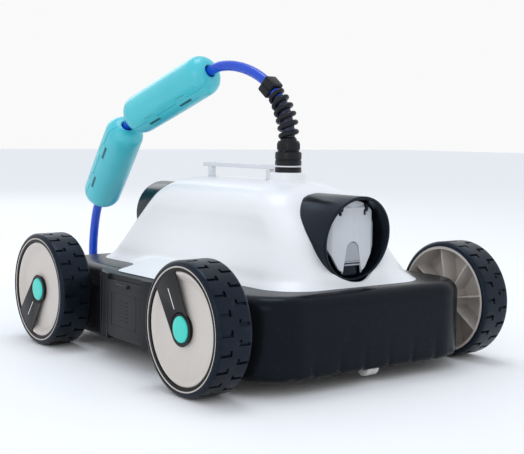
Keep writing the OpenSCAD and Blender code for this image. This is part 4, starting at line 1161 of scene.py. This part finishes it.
@dataclass
class Base:
    """The black base with its round upper edge, waved foot, deck and inlets."""

    half_x: float = 147.0
    half_y: float = 220.0
    corner: float = 52.0
    low: float = 14.0
    high: float = 97.0
    edge: float = 14.0
    foot: float = 8.0
    wall: float = 4.0
    notch_x: tuple[float, ...] = (17, 50, 84, 108)
    notch_deep: float = 2.6
    notch_wide: float = 3.4
    notch_face: float = 0.45
    notch_fade: Flat = (30.0, 18.0)
    intake_y: float = 50.0
    intake: Flat = (55.0, 17.0)
    throat_top: float = 30.0
    roller_y: float = 205.0
    well: Flat = (11.0, 12.0)
    axle: Flat = (156.0, 66.0)
    split_z: float = 82.0
    roof_z: float = 93.0
    deck_hole: Flat = (70.0, 150.0)

    def wave(self, x: float, y: float) -> float:
        """Depth of the foot's notches at a place of the outline, 0 on the sides."""
        start, run = self.notch_fade
        past = abs(y) - self.half_y + start
        if past < 0:
            return 0.0
        near = min(abs(abs(x) - n) for n in self.notch_x)
        return self.notch_deep * math.exp(-(near / self.notch_wide) ** 2) * ease(past / run)

    def outline(self, inward: float) -> list[Flat]:
        """The plan outline a distance inside the base's side."""
        return plate(self.half_x - inward, self.half_y - inward, max(self.corner - inward, 3), arc=20, run=96)

    def levels(self) -> list[tuple[float, float, float]]:
        """Inset, height and share of the foot's wave of each ring from under to over."""
        rows = [(34.0, self.low, 0.0), (20.0, self.low, 0.35), (13.0, self.low, 0.9),
                (self.foot, self.low, 1.0)]
        for t in range(15, 91, 15):
            up, back = polar(self.foot, t)
            rows.append((self.foot - back, self.low + self.foot - up, 1 - t / 220))
        rows += [(0, 27, 0.42), (0, 34, 0.22), (0, 42, 0.08), (0, 52, 0), (0, 70, 0), (0, 82.9, 0)]
        for t in range(0, 91, 9):
            back, up = polar(self.edge, t)
            rows.append((self.edge - back, self.high - self.edge + up, 0.0))
        return rows + [(30.0, self.high, 0.0)]

    def body(self) -> Form:
        """The outer form, closed, with its notches fading up the front and rear faces."""
        rings = []
        for inward, z, share in self.levels():
            ring = []
            for x, y in self.outline(inward):
                deep = self.wave(x, y) * share
                ring.append((x, y - math.copysign(deep * self.notch_face, y) if z > self.low + 4 else y,
                             z + (deep if z < self.low + self.foot else 0.0)))
            rings.append(ring)
        return loft(rings)

    def build(self) -> None:
        """Makes the hollow base, its throats and wells, and the collars of the axles."""
        cavity, upper = (
            prism(plate(self.half_x - by, self.half_y - by, self.corner - by, arc=12), low, high)
            for by, low, high in ((self.wall, self.low + self.wall, self.split_z),
                                  (self.edge, self.split_z - 0.1, self.roof_z)))
        hole = prism(plate(*self.deck_hole, 10, arc=6), self.roof_z - 0.1, self.high + 2)
        ports = Form()
        for s in (-1, 1):
            for (hx, hy), y, top in ((self.intake, self.intake_y, 26), (self.well, self.roller_y, 27.5)):
                ports.join(block((-hx, s * y - hy, 8), (hx, s * y + hy, top)))
        show(self.body(), "base_body", BASE_BLACK, "chassis", "base_tub", "base_deck",
             cuts=[cavity, upper, hole, ports], smooth=38)
        self.throats()
        self.side_marks()

    def throats(self) -> None:
        """Walls round the inlets and roller wells inside the base."""
        form = Form()
        low, top, thick = self.low + self.wall - 0.5, self.throat_top, 2.4
        for s in (-1, 1):
            for (hx, hy), y in ((self.intake, self.intake_y), (self.well, self.roller_y)):
                inner, outer = plate(hx, hy, 0.5, arc=2), plate(hx + thick, hy + thick, 1.5, arc=2)
                form.join(loft([[(x, s * y + v, z) for x, v in ring] for ring, z in (
                    (inner, low), (inner, top), (outer, top), (outer, low))], closed=True))
        show(form, "inlet_throats", BASE_BLACK, "chassis")

    def side_marks(self) -> None:
        """Collars where the axles enter the sides."""
        collar = turned([(6.3, 0), (12.6, 0), (12.6, 0.35), (11.2, 1.1), (6.3, 1.1)], 48)
        form = Form()
        for side in (-1, 1):
            for end in (-1, 1):
                at = Matrix.Translation((side * self.half_x, end * self.axle[0], self.axle[1]))
                form.join(collar.moved(at @ spin(side * 90, "Y")))
        show(form, "axle_collars", BASE_BLACK, "chassis")


@dataclass
class Pod:
    """A side pod with its chamfered flanks and the latch that opens the base."""

    side: int
    face_x: float = 170.0
    half_face: float = 37.0
    low: float = 24.0
    high: float = 96.4
    seat_half: float = 35.5
    seat_deep: float = 4.5
    pivot: Flat = (166.0, 30.0)
    latch_half: float = 35.0
    latch_top: float = 90.4

    @property
    def node(self) -> str:
        """Which side the pod is on."""
        return "left" if self.side < 0 else "right"

    def dress(self, form: Form) -> Form:
        """The form on its own side of the machine."""
        return form.faced(0, self.side)

    def along(self, radius: float, half: float, steps: int) -> Form:
        """A bar on the latch's pivot."""
        x, z = self.pivot
        return rod((x, -half, z), (x, half, z), radius, steps)

    def build(self) -> None:
        """Makes the pod with its upright ribs, and the latch."""
        x, seat, half = self.face_x, self.face_x - self.seat_deep, self.seat_half
        front = [(147.05, -88), (153, -78), (x - 5, -58), (x - 2.5, -47.5), (x, -self.half_face), (x, -half),
                 (seat, -half)]
        pod = prism(front + [(u, -v) for u, v in reversed(front)], self.low, self.high)
        mouth = block((self.pivot[0] - 2.8, -half, self.low - 1), (x + 4, half, self.pivot[1]))
        show(self.dress(pod), f"side_pod_{self.node}_moulding", POD_CHARCOAL, "chassis",
             f"side_pod_{self.node}", cuts=[self.dress(self.along(4.0, half, 24)), self.dress(mouth)],
             bevel=0.9, smooth=30)
        ribs = Form()
        for s in (-1, 1):
            for y, deep in ((50.5, 3.1), (63.5, 6.6)):
                ribs.join(block((x - deep - 3.9, s * y - 0.9, self.low + 3),
                                (x - deep + 0.2, s * y + 0.9, self.high - 3), 0.4))
        show(self.dress(ribs), f"side_pod_{self.node}_ribs", POD_CHARCOAL, "chassis")
        self.latch()

    def latch(self) -> None:
        """The hinged latch plate with its barrel, finger lip, frame and six ribs."""
        x, half, top = self.face_x, self.latch_half, self.latch_top
        form = block((x - 4, -half, self.pivot[1]), (x, half, top), 0.7)
        form.join(self.along(3.5, half, 28), block((x - 2, -12, top - 6), (x + 3, 12, top - 2), 0.9))
        for y0, y1, z0, z1 in ((-27, 27, 40, 41.2), (-27, 27, 76, 77.2), (-27, -25.8, 40, 77.2),
                               (25.8, 27, 40, 77.2)):
            form.join(block((x - 0.4, y0, z0), (x + 0.35, y1, z1), 0.15))
        rib = block((x - 0.4, -9, 47.0), (x + 0.45, 9, 48.4), 0.2).moved(spin(-90, "X"))
        form.join(in_rows(rib, 1, 6, (0, 4.2), LATCH_CHARCOAL).moved(spin(90, "X")))
        show(self.dress(form), f"latch_{self.node}_plate", LATCH_CHARCOAL, f"latch_{self.node}",
             f"latch_{self.node}", smooth=30)


# ------------------------------------------------------------------ nozzles


@dataclass
class Nozzle:
    """One nozzle, drawn for the rear and mirrored for the front: hood, flap and the sill in its notch."""

    end: int
    z: float = 145.0
    radius: float = 44.8
    wall: float = 3.5
    back_y: float = 121.0
    back_wall: float = 3.0
    duct_hole: float = 28.6
    rim_y: float = 187.0
    tilt: float = 9.0
    flap_y: float = 177.0
    flap_radius: float = 36.5
    crown_radius: float = 39.6
    pivot_z: float = 176.5
    lug_x: float = 17.0
    steps: int = 112
    notch: tuple[float, float, float] = (13.0, 8.5, 142.0)
    ledge_z: float = 117.0
    gap: float = 0.55
    side_cut: tuple[float, float, float] = (28.0, 21.0, 1.6)
    foot_cut: tuple[float, float, float] = (16.5, -34.0, 1.62)
    crest_out: float = 2.6
    fall: float = 0.105
    crease: float = 0.4
    fold: Flat = (26.6, 0.5)

    @property
    def name(self) -> str:
        """Front or rear."""
        return "front" if self.end < 0 else "rear"

    def dress(self, form: Form) -> Form:
        """The form on its own end of the machine."""
        return form.faced(1, self.end)

    def build(self) -> None:
        """Makes the hood, the flap and the sill."""
        self.hood()
        self.flap()
        self.sill()

    def hood(self) -> None:
        """The tube with its tilted, rounded rim, back wall, lugs and the foot block under the flap."""
        r, inner = self.radius, self.radius - self.wall
        back, front = self.back_y, self.back_y + self.back_wall
        lean, lip = math.tan(math.radians(self.tilt)), 1.4
        rows = [(self.duct_hole, back, 0.0), (r - 0.8, back, 0.0), (r, back + 0.8, 0.0), (r, back + 30, 0.0)]
        for x, y in (polar(1, t) for t in range(0, 181, 20)):
            rows.append(((r + inner) / 2 + self.wall / 2 * x, self.rim_y - lip + lip * y, lean))
        rows += [(inner, front + 1, 0.0), (inner - 1, front, 0.0), (self.duct_hole, front, 0.0)]
        form = loft([[(x, y + h * lean_here, self.z + h) for x, h in
                      (polar(radius, 360 * k / self.steps) for k in range(self.steps))]
                     for radius, y, lean_here in rows], closed=True)
        pivot, top = self.pivot_z, self.z + 36.4
        lug = [(-4.0, pivot - 1), (-2.8, pivot - 3.4), (2.8, pivot - 3.4), (4.0, pivot - 1),
               (4.0, top), (-4.0, top)]
        for s in (-1, 1):
            form.join(loft([[(s * x, self.flap_y + y, z) for y, z in lug]
                            for x in (self.lug_x - 1.5, self.lug_x + 1.5)]))
        show(self.dress(form), f"hood_{self.name}_tube", HOOD_BLACK, "chassis", f"hood_{self.name}",
             smooth=42)
        foot = block((-10, self.flap_y - 12, self.z - 39), (10, self.flap_y - 2, self.ledge_z), 0.8)
        show(self.dress(foot), f"hood_{self.name}_foot", HOOD_BLACK, "chassis")

    def half_notch(self, z: float) -> float:
        """Half width of the flap's notch at a height below its round top."""
        low, high, top = self.notch
        share = (z - (self.z - self.flap_radius)) / (top - high - self.z + self.flap_radius)
        return low + (high - low) * share

    def flap_ends(self, x: float) -> tuple[float, float]:
        """Top and bottom of the flap at a distance from its middle."""
        ax = abs(x)
        top = self.z + math.sqrt(max(0.0, self.crown_radius ** 2 - ax * ax))
        start, height, slope = self.side_cut
        if ax > start:
            top = min(top, self.z + height - (ax - start) * slope)
        bottom = self.z - math.sqrt(max(0.0, self.flap_radius ** 2 - ax * ax))
        start, height, slope = self.foot_cut
        if ax > start:
            bottom = max(bottom, self.z + height + (ax - start) * slope)
        low, high, crest = self.notch
        if self.lug_x - 2.1 < ax < self.lug_x + 2.1:
            top = self.pivot_z - 7.3
        if ax < low:
            middle = crest - high
            if ax <= high:
                bottom = middle + math.sqrt(high * high - ax * ax)
            else:
                share = (ax - high) / (low - high)
                bottom = middle + (self.z - self.flap_radius - middle) * share
        return top, min(bottom, top - 1)

    def flap(self) -> None:
        """The flap, two halves that meet in a crease with folded side strips, and its barrel."""
        low, high, _ = self.notch
        stations = sorted({s * v for s in (-1, 1) for v in (
            0, 0.25, 0.6, 2, 4, 6, 7.4, 8.2, high, high + 0.05, 9.5, 10.8, 12, low - 0.05, low + 0.05,
            14.8, 14.95, self.foot_cut[0], 19.05, 19.2, 20, 22, 24, 26, self.fold[0], self.side_cut[0],
            28.4, 29.5, 30.6, 31.4, 32)})
        rings = []
        for x in stations:
            top, bottom = self.flap_ends(x)
            ax = abs(x)
            y = (self.flap_y + self.crest_out - self.fall * ax - (self.crease if ax < 0.3 else 0.0)
                 - max(0.0, ax - self.fold[0]) * self.fold[1])
            thick = 2.2 if ax < 30 else 1.6
            rings.append([(x, y, top - 0.4), (x, y - 0.4, top), (x, y - thick, top), (x, y - thick, bottom),
                          (x, y - 0.4, bottom), (x, y, bottom + 0.4)])
        form = loft(rings)
        barrel = rod((-15, self.flap_y, self.pivot_z), (15, self.flap_y, self.pivot_z), 2.7, 28)
        show(self.dress(form), f"outlet_flap_{self.name}_plate", FLAP_GREY, f"outlet_flap_{self.name}",
             f"outlet_flap_{self.name}", smooth=18)
        show(self.dress(barrel), f"outlet_flap_{self.name}_barrel", FLAP_GREY, f"outlet_flap_{self.name}")

    def sill(self) -> None:
        """The fixed tongue that fills the flap's notch, with its striped ledge."""
        _, high, crest = self.notch
        foot, base, y = self.half_notch(self.ledge_z) - self.gap, self.ledge_z, self.flap_y
        outline = [(-foot, base + 4.6), (foot, base + 4.6)]
        outline += [(u, crest - high + v) for u, v in (polar(high - self.gap, t) for t in range(0, 181, 12))]
        form = loft([[(u, v, z) for u, z in inset(outline, back)]
                     for v, back in ((y - 1.6, 0.0), (y + 0.9, 0.0), (y + 1.3, 0.5))])
        for z, out, tall in ((base + 3.0, 1.9, 1.5), (base + 0.1, 2.5, 1.6)):
            form.join(block((-foot - 0.1, y - 10, z), (foot + 0.1, y + out, z + tall), 0.5))
        show(self.dress(form), f"outlet_sill_{self.name}_tongue", SILL_GREY, "chassis",
             *(["outlet_sills"] if self.end < 0 else []), smooth=30)


# ------------------------------------------------------------------ wheels and underside


@dataclass
class Wheel:
    """One wheel: treaded tyre, ribbed rim, trim with its arm, and cap."""

    code: str
    side: int
    end: int
    turn: float
    centre: Point = (178, 156, 66)
    half: float = 20.0
    radius: float = 66.0
    shoulder: float = 5.0
    seat: float = 60.6
    pitches: int = 22
    groove: float = 2.4
    slot_across: tuple[float, float, float] = (3.6, 6.2, 15.6)
    slot_along: tuple[float, float, float] = (0.20, 0.35, 0.52)
    ribs: int = 8

    def place(self) -> Matrix:
        """Puts Z outwards along the axle and Y along the trim's arm."""
        x, y, z = self.centre
        return (Matrix.Translation((self.side * x, self.end * y, z)) @ spin(-self.turn, "X")
                @ spin(self.side * 90, "Y") @ spin(self.side * 90, "Z"))

    def build(self) -> None:
        """Makes the four pieces on the wheel's body."""
        place = self.place()
        for form, part, ending, finish, edge in (
                (self.tyre(), "tyre", "treaded", TYRE_RUBBER, 28),
                (self.rim(), "rim", "moulding", RIM_CREAM, 32),
                (self.trim(), "trim", "ring", TRIM_BLACK, 30),
                (self.line(), "trim", "line", MARK_WHITE, 30),
                (self.cap(), "cap", "disc", CAP_TEAL, 40)):
            node = f"{part}_{self.code}"
            stands_for = [] if ending == "line" else [node]
            show(form.moved(place), f"{node}_{ending}", finish, f"wheel_{self.code}", *stands_for,
                 smooth=edge)

    def depth(self, u: float, share: float) -> float:
        """Depth of the tread at a place across the tyre and along one pitch, from 0 to 1."""
        along = (share + (0.0 if u > 0 else 0.5)) % 1.0
        begin, slot_end, hook_end = self.slot_along
        inner, hook, outer = self.slot_across
        in_slot = inner < abs(u) < outer and begin < along < slot_end
        in_hook = inner < abs(u) < hook and begin < along < hook_end
        return self.groove if in_slot or in_hook else 0.0

    def tyre(self) -> Form:
        """One pitch of the tread, repeated round the wheel, with smooth shoulders and an open back."""
        e, top = self.shoulder, self.radius
        across = [(-self.half + 1.0, self.seat), (-self.half + 0.2, self.seat + 1.4)]
        across += [(-self.half + e - u, top - e + r) for u, r in (polar(e, t) for t in range(0, 91, 15))]
        flat = sorted({s * (v + d) for v in self.slot_across[:2] for d in (-0.06, 0.06) for s in (-1, 1)}
                      | {s * v for v in (0, 1.8, 10) for s in (-1, 1)})
        across += [(u, top) for u in flat] + [(-u, r) for u, r in reversed(across)]
        steps = sorted({0.0, 0.5, 1.0, 0.28, 0.44, 0.78, 0.94}
                       | {round((v + o + d) % 1.0, 4) for v in self.slot_along for o in (0, 0.5)
                          for d in (-0.008, 0.008)})
        size = len(across)
        points, faces = [], []
        for share in steps:
            for u, r in across:
                low = self.depth(u, share) if r > top - 0.6 else 0.0
                points.append((*polar(r - low, 360 * share / self.pitches), u))
        for i in range(len(steps) - 1):
            for k in range(size - 1):
                a = i * size + k
                faces.append([a, a + size, a + size + 1, a + 1])
        tread = around(Form().add(points, faces), self.pitches, TYRE_RUBBER)
        return self.closed(tread, steps)

    def closed(self, tread: Form, steps: Sequence[float]) -> Form:
        """The tread with the seat under it, whose points match the tread's edges."""
        ring = [polar(self.seat, 360 * (n + share) / self.pitches) for n in range(self.pitches)
                for share in steps[:-1]]
        seat = [[(x, y, u) for x, y in ring] for u in (-self.half + 1.0, self.half - 1.0)]
        return tread.join(loft(seat, caps=False))

    def rim(self) -> Form:
        """The rim: seat, thin outer ring, cone, flat dish, hub and ribs."""
        outer = self.section([
            (60.5, 39), (60.5, 1), (60.1, 0.6), (59.3, 0.6), (59, 0.9), (59, 5), (55.5, 5), (55.5, 3.4),
            (55.1, 2.4), (54.3, 2), (53.2, 2.1), (51.8, 2.8), (48.6, 5.2), (46.4, 6.9), (45, 7.4),
            (43, 7.4), (32, 6.6), (19, 5.6), (13, 5.4), (13, 10.5), (44.4, 10.5), (46.6, 10), (52, 8.4),
            (56, 8.2), (57.2, 10), (57.2, 38.6), (57.6, 39.3), (58.4, 39.4), (60, 39.4)], 144)
        hub = self.section([(6.4, 38.8), (6.8, 39), (13.4, 39), (14, 38.4), (14, 7), (6.4, 7)], 64)
        rib = block((13.4, -1.0, -self.half + 8), (57.6, 1.0, self.half - 10), 0.4)
        return outer.join(hub, around(rib, self.ribs, RIM_CREAM))

    def arm(self, inner: float, boss: float, outer: float, half_out: float) -> list[Flat]:
        """Outline of a bar along Y from the boss's sides to the ring, hollowed round the cap.

        Args:
            inner: Radius of the hollow round the cap.
            boss: Radius of the boss, from whose sides the bar starts.
            outer: Radius at which the bar ends.
            half_out: Half width of the bar's outer end.

        Returns:
            The outline, counter-clockwise.
        """
        end = [(x, math.sqrt(outer * outer - x * x)) for x in (half_out * k / 8 for k in range(8, -9, -1))]
        hollow = [polar(inner, t) for t in range(172, 7, -12)]
        return [(-boss, 1.6), *hollow, (boss, 1.6), *end]

    def trim(self) -> Form:
        """The trim's ring, its boss round the cap and the one arm."""
        ring = self.section([(55.6, 4.9), (58.9, 4.9), (58.9, 1.3), (58.5, 0.9), (56, 0.9), (55.6, 1.3)], 144)
        boss = self.section([(14.1, 5.5), (15.2, 5.5), (15.6, 2.6), (16.9, 2), (16.9, 1.5), (16.5, 1),
                             (13.3, 1), (13.1, 1.3), (13.1, 4.4), (14.1, 4.4)], 96)
        bar = prism(self.arm(15.0, 16.6, 56.6, 19.4), self.half - 1.9, self.half - 1.0, 0.3)
        return ring.join(boss, bar)

    def line(self) -> Form:
        """The thin pale line moulded along the arm."""
        return block((-0.55, 21, self.half - 1.4), (0.55, 43, self.half - 0.85), 0.15)

    def cap(self) -> Form:
        """The teal cap, slightly domed."""
        return self.section([(10, 4.4), (12.9, 4.4), (12.95, 1.2), (12.5, 0.45), (11.6, 0.12), (8, 0.02),
                             (4, 0), (0.01, 0), (0.01, 4.4)], 72)

    def section(self, corners: Sequence[Flat], steps: int) -> Form:
        """A ring whose corners have a radius and a depth under the wheel's outer face."""
        return turned([(radius, self.half - deep) for radius, deep in corners], steps)


@dataclass
class Underside:
    """The inlet flaps and the two rollers under the base."""

    plate_half: float = 56.5
    flap_y: tuple[float, float] = (31.0, 73.0)
    flap_z: tuple[float, float] = (30.3, 32.1)
    pivot_z: float = 33.0
    roller_y: float = 205.0
    roller_z: float = 16.0
    roller_radius: float = 9.5
    roller_half: float = 8.0
    ribs: int = 11
    rib_step: float = 9.86

    def build(self) -> None:
        """Makes both ends' flaps and rollers."""
        (y0, y1), (z0, z1) = self.flap_y, self.flap_z
        r, w = self.roller_radius, self.roller_half
        for end, name in ((-1, "front"), (1, "rear")):
            leaf = block((-self.plate_half, y0, z0), (self.plate_half, y1, z1), 0.5)
            barrel = rod((-55.4, y1, self.pivot_z), (55.4, y1, self.pivot_z), 2.65, 24)
            rib = block((-50, y0 + 4, z1 - 0.4), (-48.6, y1 - 3, z1 + 0.8), 0.2)
            form = leaf.join(barrel, in_rows(rib, self.ribs, 1, (self.rib_step, 0), INTAKE_DARK))
            show(form.faced(1, end), f"intake_flap_{name}_leaf", INTAKE_DARK, f"intake_flap_{name}",
                 f"intake_flap_{name}", smooth=30)
            half = [(2.6, -w), (r - 1.2, -w), (r - 0.3, -w + 0.5), (r, -w + 1.4), (r, -1.6), (r - 0.7, -1.1)]
            wheel = turned(half + [(q, -u) for q, u in reversed(half)], 56)
            place = Matrix.Translation((0, end * self.roller_y, self.roller_z)) @ spin(90, "Y")
            show(wheel.moved(place), f"roller_{name}_wheel", ROLLER_WHITE, f"roller_{name}",
                 f"roller_{name}", smooth=40)


def inside() -> None:
    """Gives each inner CAD node its finish."""
    for node, finish in (
            ("pump_deck", DECK_GREY), ("filter_frame", FILTER_GREY), ("filter_mesh", MESH_NYLON),
            ("motor_housing", HOUSING_DARK), ("housing_gasket", GASKET_RUBBER), ("housing_lid", HOUSING_DARK),
            ("motors", MOTOR_STEEL), ("control_board", BOARD_GREEN), ("shaft_seals", GASKET_RUBBER),
            ("duct_front", DUCT_GREY), ("duct_rear", DUCT_GREY), ("impeller_front", IMPELLER_WHITE),
            ("impeller_rear", IMPELLER_WHITE), ("stub_axles", AXLE_STEEL), ("screws", SCREW_STEEL),
            ("hinge_pins", AXLE_STEEL), ("inner_lead", LEAD_BLACK)):
        slots = bpy.data.objects[node].data.materials
        slots.clear()
        slots.append(finish.make())
        log.info("%s finished as %s", node, finish.name)


# ------------------------------------------------------------------ studio


@dataclass
class Studio:
    """Floor, soft lights, sky and camera."""

    camera_at: Point = (-735.2, -995.2, 250.6)
    back: Point = (-0.6006, -0.7950, 0.0861)
    roll: float = 0.74
    lens: float = 72.87
    floor_half_m: float = 14.0

    def camera(self) -> None:
        """Makes the camera that looks along the object from its front left."""
        data = bpy.data.cameras.new("camera")
        data.lens, data.sensor_width, data.clip_start = self.lens, 36.0, 0.01
        back = Vector(self.back).normalized()
        right = Vector((0, 0, 1)).cross(back).normalized()
        up = back.cross(right)
        cosine, sine = polar(1, self.roll)
        across, over = right * cosine + up * sine, up * cosine - right * sine
        camera = placed("camera", data)
        camera.matrix_world = (Matrix.Translation(Vector(self.camera_at) * MM)
                               @ Matrix((across, over, back)).transposed().to_4x4())
        bpy.context.scene.camera = camera

    def floor(self) -> None:
        """A plain pale floor."""
        data = bpy.data.meshes.new("floor")
        far = self.floor_half_m
        data.from_pydata([(-far, -far, 0), (far, -far, 0), (far, far, 0), (-far, far, 0)], [], [(0, 1, 2, 3)])
        data.materials.append(FLOOR_PAPER.make())
        placed("floor", data)

    def lights(self) -> None:
        """Soft lights from over, left and behind, and a pale sky."""
        for name, at, size, power, colour in (
                ("over", (0.1, 0.2, 2.0), 0.8, 8, (0.86, 0.93, 1)),
                ("left", (-2.2, -1.4, 1.1), 1.3, 7, (1, 1, 1)),
                ("behind", (0.4, 2.6, 1.7), 1.4, 8, (0.92, 0.96, 1))):
            data = bpy.data.lights.new(name, "AREA")
            data.energy, data.size, data.color = power, size, colour
            placed(name, data).matrix_world = aim(Vector(at), Vector((0, 0.05, 0.1))) @ spin(180, "X")
        world = bpy.data.worlds.new("sky")
        world.use_nodes = True
        tree = world.node_tree
        tree.nodes.clear()
        place = add_node(tree, "ShaderNodeTexCoord").outputs["Generated"]
        height = Sock(tree, add_node(tree, "ShaderNodeSeparateXYZ", {}, {0: place}).outputs[2])
        ramp = add_node(tree, "ShaderNodeValToRGB", {"stops": [
            (0.0, (0.95, 0.95, 0.95)), (0.58, (0.95, 0.95, 0.955)), (0.75, (0.87, 0.89, 0.93)),
            (1.0, (0.74, 0.80, 0.90))]}, {0: height * 0.5 + 0.5})
        sky = add_node(tree, "ShaderNodeBackground", {}, {0: ramp.outputs[0], 1: 1.0})
        add_node(tree, "ShaderNodeOutputWorld", {}, {0: sky.outputs[0]})
        bpy.context.scene.world = world
        bpy.context.scene.view_settings.view_transform = "Standard"


def main() -> None:
    """Builds the studio, the cable and then each sub-assembly."""
    logging.basicConfig(level=logging.INFO, format="%(name)s %(message)s")
    studio = Studio()
    studio.camera()
    Cable().build()
    Swivel().build()
    Shell().build()
    Handle().build()
    Base().build()
    for side in (-1, 1):
        Pod(side).build()
    for end in (-1, 1):
        Nozzle(end).build()
    for code, side, end, turn in (("fl", -1, -1, 31), ("rl", -1, 1, 142), ("fr", 1, -1, 100),
                                  ("rr", 1, 1, -40)):
        Wheel(code, side, end, turn).build()
    Underside().build()
    inside()
    studio.floor()
    studio.lights()
    log.info("all pieces built")


if __name__ == "__main__":
    main()
